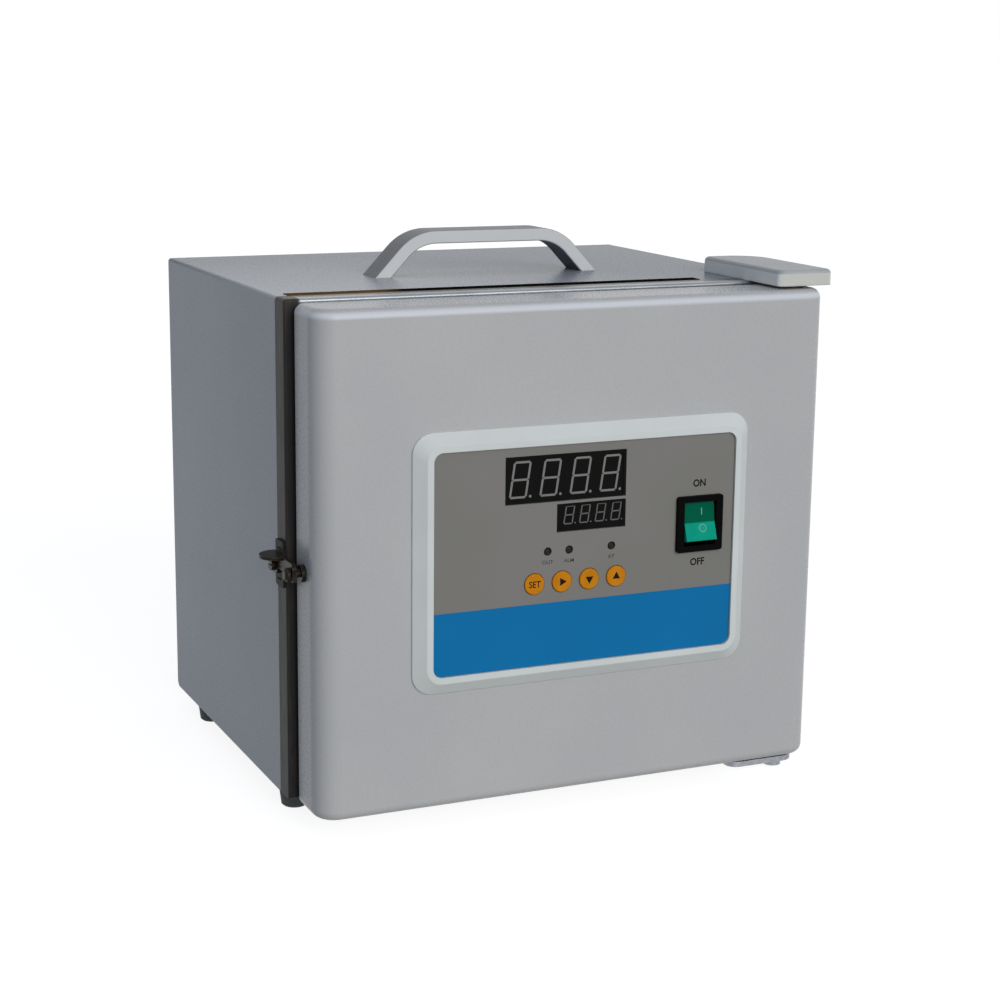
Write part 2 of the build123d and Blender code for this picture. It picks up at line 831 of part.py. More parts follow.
# Carry handle: one bent bar on the cabinet's top, with a stud under each foot
with BuildPart() as carry_handle:
    with BuildSketch(facing(front + handle_front_inset)) as handle_profile:
        with BuildLine():
            Polyline(
                (handle_left, top_z),
                (handle_left + handle_lean, top_z + handle_height),
                (handle_right - handle_lean, top_z + handle_height),
                (handle_right, top_z),
                (handle_right - handle_foot, top_z),
                (handle_right - handle_foot - handle_inner_lean, top_z + handle_height - handle_bar),
                (handle_left + handle_foot + handle_inner_lean, top_z + handle_height - handle_bar),
                (handle_left + handle_foot, top_z),
                close=True,
            )
        make_face()
        fillet(handle_profile.vertices().group_by(Axis.Y)[-2], handle_bend_radius - handle_bar / 2)
        fillet(handle_profile.vertices().group_by(Axis.Y)[-1], handle_bend_radius + handle_bar / 2)
    extrude(amount=-handle_width)
    sides = carry_handle.faces().sort_by(Axis.Y)
    long_edges = (sides[0].edges() + sides[-1].edges()).filter_by(
        lambda edge: edge.center().Z > top_z
    )
    chamfer(long_edges, handle_edge)
    with BuildSketch(Plane.XY.offset(top_z)):
        with Locations(*[(x, handle_mid_y) for x in handle_stud_x]):
            Circle(handle_stud_radius)
    extrude(amount=-handle_stud_length)
carry_handle.part.label = "carry_handle"
export_step(carry_handle.part, "parts/carry_handle.step")

with BuildPart() as handle_nuts:
    with BuildSketch(Plane.XY.offset(top_z - sheet)):
        with Locations(*[(x, handle_mid_y) for x in handle_stud_x]):
            RegularPolygon(handle_nut_radius, 6)
            Circle(handle_stud_radius, mode=Mode.SUBTRACT)
    extrude(amount=-handle_nut_height)
handle_nuts.part.label = "handle_nuts"
export_step(handle_nuts.part, "parts/handle_nuts.step")

# Mains inlet: a flanged socket in the back panel, with three blades and two screws
inlet_floor_y = rear + inlet_flange - inlet_socket_depth
pin_spots = [
    (-inlet_pin_spread, inlet_pin_drop / 2),
    (0, -inlet_pin_drop / 2),
    (inlet_pin_spread, inlet_pin_drop / 2),
]
with BuildPart() as power_inlet:
    with BuildSketch(backing(rear)):
        with Locations((-inlet_x, inlet_z)):
            RectangleRounded(inlet_width + 2 * inlet_ear, inlet_height + inlet_flange, inlet_flange)
            with GridLocations(inlet_screw_pitch, 1, 2, 1):
                Circle(screw_radius, mode=Mode.SUBTRACT)
    extrude(amount=inlet_flange)
    with BuildSketch(backing(rear)):
        with Locations((-inlet_x, inlet_z)):
            Rectangle(inlet_width, inlet_height)
    extrude(amount=-inlet_body_depth)
    with BuildSketch(backing(rear + inlet_flange)) as socket:
        with Locations((-inlet_x, inlet_z)):
            Rectangle(inlet_width - 2 * inlet_wall, inlet_height - 2 * inlet_wall)
        chamfer(socket.vertices().group_by(Axis.Y)[-1], inlet_cut)
    extrude(amount=-inlet_socket_depth, mode=Mode.SUBTRACT)
    with BuildSketch(backing(inlet_floor_y)):
        with Locations((-inlet_x, inlet_z)):
            with Locations(*pin_spots):
                Rectangle(inlet_pin_width, inlet_pin_height)
    extrude(amount=-inlet_body_depth, mode=Mode.SUBTRACT)
power_inlet.part.label = "power_inlet"
export_step(power_inlet.part, "parts/power_inlet.step")

with BuildPart() as inlet_pins:
    with BuildSketch(backing(inlet_floor_y + inlet_pin_reach)):
        with Locations((-inlet_x, inlet_z)):
            with Locations(*pin_spots):
                Rectangle(inlet_pin_width, inlet_pin_height)
    extrude(amount=-(inlet_pin_reach + inlet_floor_y - rear + inlet_body_depth + inlet_tab))
inlet_pins.part.label = "inlet_pins"
export_step(inlet_pins.part, "parts/inlet_pins.step")

inlet_screws = hex_screws(
    backing(rear + inlet_flange),
    [(side * inlet_screw_pitch / 2 - inlet_x, inlet_z) for side in (-1, 1)],
    screw_grip + inlet_flange,
)
inlet_screws.label = "inlet_screws"
export_step(inlet_screws, "parts/inlet_screws.step")

# Fuse holder: a knurled cap outside, a round body inside
with BuildPart(backing(rear)) as fuse_holder:
    with Locations((-fuse_x, inlet_z)):
        Cylinder(fuse_cap_radius, fuse_cap_height, align=BOTTOM)
        Cylinder(fuse_radius, fuse_body_depth, align=TOP)
        with PolarLocations(fuse_cap_radius, fuse_grooves):
            Cylinder(fuse_groove_radius, fuse_cap_height, align=BOTTOM, mode=Mode.SUBTRACT)
        with Locations((0, 0, fuse_cap_height)):
            Box(fuse_cap_radius, fuse_slot_width, fuse_slot_depth, align=TOP, mode=Mode.SUBTRACT)
fuse_holder.part.label = "fuse_holder"
export_step(fuse_holder.part, "parts/fuse_holder.step")

# Power supply on four hexagon posts behind the back panel
with BuildPart(facing(supply_y)) as power_supply:
    with BuildSketch(facing(supply_y)):
        with Locations((mid_x, supply_z)):
            with GridLocations(
                supply_width - 2 * supply_post_inset, supply_height - 2 * supply_post_inset, 2, 2
            ):
                RegularPolygon(supply_post_radius, 6)
    extrude(amount=-supply_post)
    with Locations((mid_x, supply_z)):
        Box(supply_width, supply_height, supply_board, align=BOTTOM)
        with Locations((coil_offset, 0, supply_board)):
            Box(coil_size, coil_size, coil_height, align=BOTTOM)
        with Locations((capacitor_offset, 0, supply_board)):
            with GridLocations(1, capacitor_pitch, 1, 3):
                Cylinder(capacitor_radius, capacitor_height, align=BOTTOM)
power_supply.part.label = "power_supply"
export_step(power_supply.part, "parts/power_supply.step")


def door_form(inset):
    """Door's pillow shape, drawn in by an inset on every side but the back."""
    with BuildPart() as form:
        with BuildSketch(Plane.XY.offset(door_bottom + inset)) as plan:
            with Locations((door_mid_x, door_back)):
                Rectangle(
                    door_width - 2 * inset, door_thickness - inset, align=(Align.CENTER, Align.MAX)
                )
            fillet(plan.vertices().group_by(Axis.Y)[0], door_side_radius - inset)
        extrude(amount=door_height - 2 * inset)
        bottom_rim = form.edges().group_by(Axis.Z)[0].sort_by(Axis.Y)[:-1]
        top_rim = form.edges().group_by(Axis.Z)[-1].sort_by(Axis.Y)[:-1]
        fillet(bottom_rim + top_rim, door_edge_radius - inset)
    return form.part


def panel_cutouts(gap):
    """Displays, lamps, keys and switch body with a gap around each, from the panel's centre."""
    with Locations((display_large_x, display_large_z)):
        Rectangle(display_large_width + 2 * gap, display_large_height + 2 * gap)
    with Locations((display_small_x, display_small_z)):
        Rectangle(display_small_width + 2 * gap, display_small_height + 2 * gap)
    with Locations(*lamp_spots):
        Circle(lamp_radius + gap)
    with Locations(*key_spots.values()):
        Circle(key_radius + gap)
    with Locations((switch_x, switch_z)):
        Rectangle(switch_body_width + 2 * gap, switch_body_height + 2 * gap)


# Door skin: a painted pan with soft front corners, open behind
door_outside = door_form(0)
door_inside = door_form(door_sheet)
with BuildPart() as door_skin:
    add(door_outside)
    add(door_inside, mode=Mode.SUBTRACT)
    with BuildSketch(ahead(0)):
        with Locations(panel_centre):
            RectangleRounded(
                skirt_width + 2 * panel_gap, skirt_height + 2 * panel_gap, panel_skirt_radius
            )
    extrude(amount=-door_sheet, mode=Mode.SUBTRACT)
    with BuildSketch(Plane.XY.offset(door_top)):
        with Locations((pin_x, pin_y)):
            Circle(bush_radius)
    extrude(amount=-door_height, mode=Mode.SUBTRACT)
    with BuildSketch(left_of(door_left)):
        with Locations((-stud_y, latch_z)):
            Circle(stud_neck_radius)
    extrude(amount=-door_sheet, mode=Mode.SUBTRACT)
door_skin.part.label = "door_skin"
export_step(door_skin.part, "parts/door_skin.step")

# Door liner: the steel inner wall, with a shallow tray pressed towards the chamber
tray_width = chamber_width - 2 * door_emboss_inset
tray_height = chamber_height - 2 * door_emboss_inset
with BuildPart() as door_liner:
    with BuildSketch(facing(door_back)):
        with Locations((door_mid_x, door_mid_z)):
            RectangleRounded(
                door_width - 2 * (door_sheet + panel_gap),
                door_height - 2 * (door_sheet + panel_gap),
                door_edge_radius - door_sheet - panel_gap,
            )
    extrude(amount=door_sheet)
    with BuildSketch(facing(door_back)):
        with Locations((mid_x, mid_z)):
            RectangleRounded(tray_width, tray_height, chamber_corner_radius)
    extrude(amount=-door_emboss)
    chamfer(door_liner.faces().sort_by(Axis.Y)[-1].edges(), tray_edge)
    with BuildSketch(facing(door_back - door_sheet)):
        with Locations((mid_x, mid_z)):
            RectangleRounded(
                tray_width - 2 * door_sheet,
                tray_height - 2 * door_sheet,
                chamber_corner_radius - door_sheet,
            )
    extrude(amount=-door_emboss, mode=Mode.SUBTRACT)
door_liner.part.label = "door_liner"
export_step(door_liner.part, "parts/door_liner.step")

# Door insulation, with a pocket for the electronics and clear of the hinge
door_core = door_form(door_sheet + insulation_gap)
core_hinge_x = pin_x - bush_flange_radius - insulation_gap
with BuildPart() as door_insulation:
    add(door_core)
    with BuildSketch(facing(door_back)):
        with Locations((door_mid_x, door_mid_z)):
            Rectangle(door_width, door_height)
    extrude(amount=door_sheet + insulation_gap, mode=Mode.SUBTRACT)
    with BuildSketch(ahead(0)):
        with Locations(panel_centre):
            Rectangle(skirt_width + 2 * pocket_margin, skirt_height + 2 * pocket_margin)
    extrude(amount=-pocket_depth, mode=Mode.SUBTRACT)
    with BuildSketch(Plane.XY.offset(door_top)):
        with Locations((core_hinge_x, door_back)):
            Rectangle(door_width, door_thickness, align=(Align.MIN, Align.MAX))
    extrude(amount=-door_height, mode=Mode.SUBTRACT)
    with BuildSketch(left_of(door_left)):
        with Locations((-stud_y, latch_z)):
            Circle(stud_neck_radius + insulation_gap)
    extrude(amount=-(stud_shank + insulation_gap), mode=Mode.SUBTRACT)
door_insulation.part.label = "door_insulation"
export_step(door_insulation.part, "parts/door_insulation.step")

# Gasket: a rubber ring on the door liner that meets the front frame
gasket_left = door_left + gasket_inset
gasket_right = pin_x - gasket_hinge_gap
gasket_place = ((gasket_left + gasket_right) / 2, door_mid_z)
gasket_across = gasket_right - gasket_left
gasket_up = door_height - 2 * gasket_inset
with BuildPart() as door_gasket:
    with BuildSketch(facing(door_back)):
        with Locations(gasket_place):
            RectangleRounded(gasket_across, gasket_up, gasket_corner_radius)
            RectangleRounded(
                gasket_across - 2 * gasket_width,
                gasket_up - 2 * gasket_width,
                gasket_corner_radius,
                mode=Mode.SUBTRACT,
            )
    extrude(amount=gasket_clearance - door_gap)
    chamfer(door_gasket.faces().sort_by(Axis.Y)[-1].edges(), gasket_edge)
door_gasket.part.label = "door_gasket"
export_step(door_gasket.part, "parts/door_gasket.step")

# Panel surround: a sloped frame, a sunk web with openings and a skirt into the door
with BuildPart() as panel_bezel:
    with BuildSketch(ahead(0)):
        with Locations(panel_centre):
            RectangleRounded(panel_width, panel_height, panel_radius)
    extrude(amount=panel_edge)
    with BuildSketch(ahead(panel_edge)):
        with Locations(panel_centre):
            RectangleRounded(panel_width, panel_height, panel_radius)
    with BuildSketch(ahead(panel_rise)):
        with Locations(panel_centre):
            RectangleRounded(
                panel_width - 2 * panel_slope,
                panel_height - 2 * panel_slope,
                overlay_radius + panel_lip,
            )
    loft()
    with BuildSketch(ahead(panel_rise)):
        with Locations(panel_centre):
            RectangleRounded(overlay_width, overlay_height, overlay_radius)
    extrude(amount=web_front - panel_rise, mode=Mode.SUBTRACT)
    with BuildSketch(ahead(0)):
        with Locations(panel_centre):
            RectangleRounded(skirt_width, skirt_height, panel_skirt_radius)
    extrude(amount=-panel_skirt)
    with BuildSketch(ahead(web_back)):
        with Locations(panel_centre):
            RectangleRounded(
                skirt_width - 2 * panel_skirt_wall,
                skirt_height - 2 * panel_skirt_wall,
                panel_skirt_radius - panel_skirt_wall,
            )
    extrude(amount=-(web_back + panel_skirt), mode=Mode.SUBTRACT)
    with BuildSketch(ahead(web_front)):
        with Locations(panel_centre):
            panel_cutouts(window_gap)
    extrude(amount=-panel_web, mode=Mode.SUBTRACT)
panel_bezel.part.label = "panel_bezel"
export_step(panel_bezel.part, "parts/panel_bezel.step")

# Faceplate: the flat printed sheet that lies on the web
with BuildPart() as panel_faceplate:
    with BuildSketch(ahead(web_front)):
        with Locations(panel_centre):
            RectangleRounded(
                overlay_width - 2 * overlay_gap, overlay_height - 2 * overlay_gap, overlay_radius
            )
    extrude(amount=overlay_sheet)
    with BuildSketch(ahead(overlay_depth)):
        with Locations(panel_centre):
            panel_cutouts(window_gap)
    extrude(amount=-overlay_sheet, mode=Mode.SUBTRACT)
panel_faceplate.part.label = "panel_faceplate"
export_step(panel_faceplate.part, "parts/panel_faceplate.step")

# Two digital displays with a raised border, standing on the circuit board
display_sizes = {
    "display_large": (display_large_x, display_large_z, display_large_width, display_large_height),
    "display_small": (display_small_x, display_small_z, display_small_width, display_small_height),
}
for display_name, (offset_x, offset_z, width, height) in display_sizes.items():
    with BuildPart() as display:
        with BuildSketch(ahead(board_front)):
            with Locations((panel_centre[0] + offset_x, panel_centre[1] + offset_z)):
                Rectangle(width, height)
        extrude(amount=display_depth)
        with BuildSketch(ahead(display_front)):
            with Locations((panel_centre[0] + offset_x, panel_centre[1] + offset_z)):
                Rectangle(width - 2 * display_border, height - 2 * display_border)
        extrude(amount=-display_step, mode=Mode.SUBTRACT)
    display.part.label = display_name
    export_step(display.part, f"parts/{display_name}.step")

# Indicator lamps: diodes with a bevelled nose, on the circuit board
with BuildPart(ahead(board_front)) as indicator_leds:
    with Locations(panel_centre):
        with Locations(*lamp_spots):
            Cylinder(lamp_radius, overlay_depth + lamp_proud - board_front, align=BOTTOM)
    chamfer(indicator_leds.edges().group_by(Axis.Y)[0], lamp_edge)
indicator_leds.part.label = "indicator_leds"
export_step(indicator_leds.part, "parts/indicator_leds.step")

# Circuit board on four hexagon posts, with a push button under each key
with BuildPart(ahead(board_front)) as controller_board:
    with BuildSketch(ahead(board_front)):
        with Locations((panel_centre[0] + board_x, panel_centre[1] + board_z)):
            with GridLocations(2 * board_post_x, 2 * board_post_z, 2, 2):
                RegularPolygon(board_post_radius, 6)
    extrude(amount=web_back - board_front)
    with Locations(panel_centre):
        with Locations((board_x, board_z)):
            Box(board_width, board_height, board_sheet, align=TOP)
        with Locations(*key_spots.values()):
            Box(button_size, button_size, button_body, align=BOTTOM)
            Box(plunger_size, plunger_size, button_height, align=BOTTOM)
        with Locations((board_x, board_z - chip_drop / 2, -board_sheet)):
            Box(chip_size, chip_size, chip_height, align=TOP)
        with Locations((board_x, board_z + terminal_rise, -board_sheet)):
            Box(terminal_width, terminal_height, terminal_depth, align=TOP)
controller_board.part.label = "controller_board"
export_step(controller_board.part, "parts/controller_board.step")

# Four round keys, each held behind the web by its flange
key_cap = overlay_depth + key_proud - key_back
for key_name, key_spot in key_spots.items():
    with BuildPart(ahead(key_back)) as key:
        with Locations((panel_centre[0] + key_spot[0], panel_centre[1] + key_spot[1])):
            Cylinder(key_radius, key_cap, align=BOTTOM)
            Cylinder(key_flange_radius, key_flange, align=TOP)
            Cylinder(key_stem_radius, key_flange + key_stem, align=TOP)
        chamfer(key.edges().filter_by(GeomType.CIRCLE).sort_by(Axis.Y)[0], key_edge)
    key.part.label = key_name
    export_step(key.part, f"parts/{key_name}.step")

# Rocker switch: a flanged body with a cavity and blade terminals
with BuildPart(ahead(overlay_depth)) as switch_body:
    with BuildSketch(ahead(overlay_depth)):
        with Locations((switch_centre_x, switch_centre_z)):
            RectangleRounded(switch_width, switch_height, switch_corner_radius)
    extrude(amount=switch_flange)
    with BuildSketch(ahead(overlay_depth)):
        with Locations((switch_centre_x, switch_centre_z)):
            Rectangle(switch_body_width, switch_body_height)
    extrude(amount=switch_back - overlay_depth)
    with BuildSketch(ahead(switch_front_depth)):
        with Locations((switch_centre_x, switch_centre_z)):
            Rectangle(switch_cavity_width, switch_cavity_height)
    extrude(amount=-switch_cavity_depth, mode=Mode.SUBTRACT)
    with BuildSketch(ahead(switch_back)):
        with Locations((switch_centre_x, switch_centre_z)):
            with GridLocations(1, blade_pitch, 1, 3):
                Rectangle(blade_width, terminal_blade)
    extrude(amount=-blade_length)
    with BuildSketch(Plane.YZ.offset(switch_centre_x)):
        with Locations((rocker_pivot_y, switch_centre_z)):
            Circle(rocker_pivot_radius + pin_clearance)
    extrude(amount=switch_body_width / 2, both=True, mode=Mode.SUBTRACT)
switch_body.part.label = "switch_body"
export_step(switch_body.part, "parts/switch_body.step")

# Rocker: dished both ways from its middle, at rest with the top half pressed in
rocker_plane = Plane(
    origin=(switch_centre_x, rocker_pivot_y, switch_centre_z),
    x_dir=(0, -cos(rocker_throw_rad), sin(rocker_throw_rad)),
    z_dir=(1, 0, 0),
)
with BuildPart() as switch_rocker:
    with BuildSketch(rocker_plane):
        with BuildLine():
            Polyline(
                (rocker_crease, 0),
                (rocker_end, rocker_half),
                (-rocker_skirt, rocker_half),
                (-rocker_keel, rocker_keel_half),
                (-rocker_keel, -rocker_keel_half),
                (-rocker_skirt, -rocker_half),
                (rocker_end, -rocker_half),
                close=True,
            )
        make_face()
    extrude(amount=rocker_width / 2, both=True)
    with BuildSketch(rocker_plane):
        Circle(rocker_pivot_radius)
    extrude(amount=rocker_width / 2 + rocker_pivot_length, both=True)
switch_rocker.part.label = "switch_rocker"
export_step(switch_rocker.part, "parts/switch_rocker.step")

# Top hinge plate, from the cabinet's top out over the door
with BuildPart() as top_hinge_plate:
    with BuildSketch(Plane.XY.offset(top_z)):
        with Locations((pin_x, pin_y)):
            Circle(top_plate_radius)
        with Locations((pin_x, frame_front + top_plate_start)):
            Rectangle(
                top_plate_width, top_plate_reach - top_plate_start, align=(Align.CENTER, Align.MIN)
            )
        make_hull()
    extrude(amount=hinge_plate)
    with BuildSketch(Plane.XY.offset(top_z)):
        with Locations((pin_x, pin_y)):
            Circle(pin_radius)
        with Locations(*top_screw_places):
            Circle(screw_radius)
    extrude(amount=hinge_plate, mode=Mode.SUBTRACT)
top_hinge_plate.part.label = "top_hinge_plate"
export_step(top_hinge_plate.part, "parts/top_hinge_plate.step")

with BuildPart(Plane.XY.offset(top_z + hinge_plate)) as top_hinge_pin:
    with Locations((pin_x, pin_y)):
        Cylinder(top_pin_head_radius, top_pin_head, align=BOTTOM)
        Cylinder(pin_radius, hinge_plate + door_drop + pin_engagement, align=TOP)
top_hinge_pin.part.label = "top_hinge_pin"
export_step(top_hinge_pin.part, "parts/top_hinge_pin.step")

top_hinge_screws = hex_screws(
    Plane.XY.offset(top_z + hinge_plate), top_screw_places, hinge_plate + sheet + screw_tip
)
top_hinge_screws.label = "top_hinge_screws"
export_step(top_hinge_screws, "parts/top_hinge_screws.step")


def cover_plan(inset):
    """Hinge cover's outline on the cabinet's top, drawn in by an inset."""
    with BuildSketch(Plane.XY.offset(top_z)) as plan:
        with Locations((cover_right - cover_width / 2, (cover_front_y + cover_rear_y) / 2)):
            Rectangle(cover_width - 2 * inset, cover_length - 2 * inset)
        fillet(
            plan.vertices().sort_by_distance((cover_right, cover_rear_y))[1:],
            cover_corner_radius - inset,
        )
        fillet(
            plan.vertices().sort_by_distance((cover_right, cover_rear_y))[0],
            cover_rear_radius - inset,
        )
    return plan.sketch


# Hinge cover: a moulded cap over the top plate and pin
cover_outside = cover_plan(0)
cover_inside = cover_plan(cover_wall)
with BuildPart() as hinge_cover:
    extrude(cover_outside, amount=cover_height)
    fillet(hinge_cover.faces().sort_by(Axis.Z)[-1].edges(), cover_edge_radius)
    extrude(cover_inside, amount=cover_height - cover_wall, mode=Mode.SUBTRACT)
hinge_cover.part.label = "hinge_cover"
export_step(hinge_cover.part, "parts/hinge_cover.step")

# Lower hinge plate: screwed under the frame and stepped down below the door
joggle_y = frame_front + low_joggle_start
joggle_end_y = joggle_y + low_joggle_run
with BuildPart() as lower_hinge_plate:
    with BuildSketch(Plane.YZ.offset(low_plate_left)):
        with BuildLine():
            Polyline(
                (pin_y - low_plate_nose, low_plate_top),
                (joggle_y, low_plate_top),
                (joggle_end_y, base_z),
                (front, base_z),
                (front, base_z - hinge_plate),
                (joggle_end_y, base_z - hinge_plate),
                (joggle_y, low_plate_top - hinge_plate),
                (pin_y - low_plate_nose, low_plate_top - hinge_plate),
                close=True,
            )
        make_face()
    extrude(amount=low_plate_width)
    nose_corners = lower_hinge_plate.edges().filter_by(Axis.Z).group_by(Axis.Y)[0].sort_by(Axis.X)
    fillet(nose_corners[0], low_plate_corner)
    fillet(nose_corners[1], low_plate_nose)
    with BuildSketch(Plane.XY.offset(base_z)):
        with Locations((pin_x, pin_y)):
            Circle(pin_radius)
        with Locations(*low_screw_places):
            Circle(screw_radius)
    extrude(amount=-foot_height, mode=Mode.SUBTRACT)
lower_hinge_plate.part.label = "lower_hinge_plate"
export_step(lower_hinge_plate.part, "parts/lower_hinge_plate.step")

with BuildPart(under(low_plate_top - hinge_plate)) as lower_hinge_pin:
    with Locations((pin_x, -pin_y)):
        Cylinder(low_pin_head_radius, low_pin_head, align=BOTTOM)
        Cylinder(pin_radius, hinge_plate + hinge_gap + bush_flange + pin_engagement, align=TOP)
lower_hinge_pin.part.label = "lower_hinge_pin"
export_step(lower_hinge_pin.part, "parts/lower_hinge_pin.step")

lower_hinge_screws = hex_screws(
    under(base_z - hinge_plate),
    [(x, -y) for x, y in low_screw_places],
    hinge_plate + sheet + screw_tip,
)
lower_hinge_screws.label = "lower_hinge_screws"
export_step(lower_hinge_screws, "parts/lower_hinge_screws.step")

# Flanged bushes pressed into the top and bottom of the door
bush_planes = {"upper_bush": Plane.XY.offset(door_top), "lower_bush": under(door_bottom)}
for bush_name, bush_plane in bush_planes.items():
    with BuildPart(bush_plane) as bush:
        with Locations((pin_x, bush_plane.y_dir.Y * pin_y)):
            Cylinder(bush_flange_radius, bush_flange, align=BOTTOM)
            Cylinder(bush_radius, bush_length, align=TOP)
            Cylinder(bush_bore, bush_flange, align=BOTTOM, mode=Mode.SUBTRACT)
            Cylinder(bush_bore, bush_length, align=TOP, mode=Mode.SUBTRACT)
    bush.part.label = bush_name
    export_step(bush.part, f"parts/{bush_name}.step")

# Latch base: a plate on the side of the front frame, with two sunk screws
with BuildPart(left_of(left - latch_base_sheet)) as latch_base:
    with BuildSketch(left_of(left)):
        with Locations((-latch_y, latch_z)):
            RectangleRounded(latch_base_width, latch_base_height, latch_base_sheet)
            Circle(latch_pivot_radius, mode=Mode.SUBTRACT)
    extrude(amount=latch_base_sheet)
    with Locations(*[(-latch_y, z) for z in latch_screw_z]):
        CounterSinkHole(screw_radius, latch_screw_head, counter_sink_angle=90)
latch_base.part.label = "latch_base"
export_step(latch_base.part, "parts/latch_base.step")

with BuildPart(left_of(left - latch_base_sheet)) as latch_screws:
    with Locations(*[(-latch_y, z) for z in latch_screw_z]):
        Cone(screw_radius, latch_screw_head, latch_screw_head - screw_radius, align=TOP)
        Cylinder(screw_radius, latch_base_sheet + liner_sheet + screw_tip, align=TOP)
        Box(2 * latch_screw_head, slot_width, slot_depth, align=TOP, mode=Mode.SUBTRACT)
latch_screws.part.label = "latch_screws"
export_step(latch_screws.part, "parts/latch_screws.step")

# Latch lever: a plate with a hook that drops over the door's stud and a thumb tab
with BuildPart() as latch_lever:
    with BuildSketch(left_of(latch_inner_x)) as lever_outline:
        with Locations((-tab_y - latch_tab_length / 2, latch_top)):
            Rectangle(
                tab_y - stud_y + latch_tab_length / 2 + hook_end,
                latch_arm,
                align=(Align.MIN, Align.MAX),
            )
        with Locations((-stud_y, latch_top)):
            Rectangle(
                hook_end, latch_top - latch_z + latch_hook_depth, align=(Align.MIN, Align.MAX)
            )
        nose = lever_outline.vertices().sort_by_distance((-stud_y + hook_end, latch_top))[0]
        fillet(nose, latch_nose_radius)
        with Locations((-latch_y, latch_z)):
            Circle(latch_boss_radius)
            Circle(latch_pivot_radius + pin_clearance, mode=Mode.SUBTRACT)
        with Locations((-stud_y, latch_z)):
            Circle(hook_radius, mode=Mode.SUBTRACT)
            Rectangle(
                2 * hook_radius,
                latch_boss_radius,
                align=(Align.CENTER, Align.MAX),
                mode=Mode.SUBTRACT,
            )
    extrude(amount=latch_plate)
    with BuildSketch(Plane.XY.offset(latch_top)):
        with Locations((latch_outer_x, tab_y)):
            Ellipse(latch_tab_width, latch_tab_length / 2)
            Rectangle(
                latch_tab_width + latch_plate,
                latch_tab_length,
                align=(Align.MAX, Align.CENTER),
                mode=Mode.INTERSECT,
            )
    extrude(amount=-latch_tab_sheet)
latch_lever.part.label = "latch_lever"
export_step(latch_lever.part, "parts/latch_lever.step")

with BuildPart(left_of(latch_outer_x - latch_cap_gap)) as latch_pivot:
    with Locations((-latch_y, latch_z)):
        Cylinder(latch_cap_radius, latch_cap, align=BOTTOM)
        Cylinder(
            latch_pivot_radius,
            latch_cap_gap + left - latch_outer_x + liner_sheet + latch_pivot_tip,
            align=TOP,
        )
        with Locations((0, 0, latch_cap)):
            Box(2 * latch_cap_radius, slot_width, slot_depth, align=TOP, mode=Mode.SUBTRACT)
latch_pivot.part.label = "latch_pivot"
export_step(latch_pivot.part, "parts/latch_pivot.step")

# Latch stud on the door's side: flange, neck for the hook and a bevelled head
with BuildPart(left_of(door_left)) as latch_stud:
    with Locations((-stud_y, latch_z)):
        Cylinder(stud_flange_radius, stud_flange, align=BOTTOM)
        Cylinder(stud_neck_radius, stud_shank, align=TOP)
        Cylinder(stud_neck_radius, door_left - latch_outer_x + latch_gap, align=BOTTOM)
        with Locations((0, 0, door_left - latch_outer_x + latch_gap)):
            Cylinder(stud_head_radius, stud_head, align=BOTTOM)
    chamfer(latch_stud.edges().filter_by(GeomType.CIRCLE).sort_by(Axis.X)[0], stud_head_edge)
latch_stud.part.label = "latch_stud"
export_step(latch_stud.part, "parts/latch_stud.step")
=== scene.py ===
import json
import math

import bpy
from mathutils import Matrix, Vector


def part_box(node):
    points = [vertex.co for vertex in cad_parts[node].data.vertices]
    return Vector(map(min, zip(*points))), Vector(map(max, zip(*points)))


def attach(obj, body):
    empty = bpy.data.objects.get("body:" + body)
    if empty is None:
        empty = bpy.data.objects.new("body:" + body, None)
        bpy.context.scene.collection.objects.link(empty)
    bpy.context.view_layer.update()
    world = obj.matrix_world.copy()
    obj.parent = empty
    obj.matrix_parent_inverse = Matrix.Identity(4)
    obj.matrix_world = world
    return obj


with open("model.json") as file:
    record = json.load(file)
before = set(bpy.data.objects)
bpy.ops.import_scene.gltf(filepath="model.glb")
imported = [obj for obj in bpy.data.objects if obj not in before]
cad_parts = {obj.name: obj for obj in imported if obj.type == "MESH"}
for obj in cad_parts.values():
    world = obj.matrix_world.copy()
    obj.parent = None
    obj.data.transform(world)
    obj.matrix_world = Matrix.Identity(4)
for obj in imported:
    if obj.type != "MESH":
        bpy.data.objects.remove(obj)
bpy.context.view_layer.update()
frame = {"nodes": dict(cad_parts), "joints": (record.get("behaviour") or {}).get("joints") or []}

mm = 0.001
shellLow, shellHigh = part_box("cabinet_shell")


def linearColour(code):
    parts = [int(code[i:i + 2], 16) / 255 for i in (1, 3, 5)]
    return tuple(c / 12.92 if c < 0.04045 else ((c + 0.055) / 1.055) ** 2.4 for c in parts) + (1.0,)


def addNode(tree, kind, inputs=None, **settings):
    # an input is fed by a node's output, or set to a hex colour or a plain value
    node = tree.nodes.new(kind)
    for name, value in settings.items():
        setattr(node, name, value)
    for socket, given in (inputs or {}).items():
        if isinstance(given, bpy.types.NodeSocket):
            tree.links.new(given, node.inputs[socket])
        elif isinstance(given, str):
            node.inputs[socket].default_value = linearColour(given)
        else:
            node.inputs[socket].default_value = given
    return node


def stepAlong(tree, place, axis, start, end):
    # 0 up to start and 1 past end, along one axis. Start may be the higher one.
    split = addNode(tree, "ShaderNodeSeparateXYZ", {"Vector": place})
    return addNode(tree, "ShaderNodeMapRange", {"Value": split.outputs[axis], "From Min": start,
                                                "From Max": end}).outputs[0]


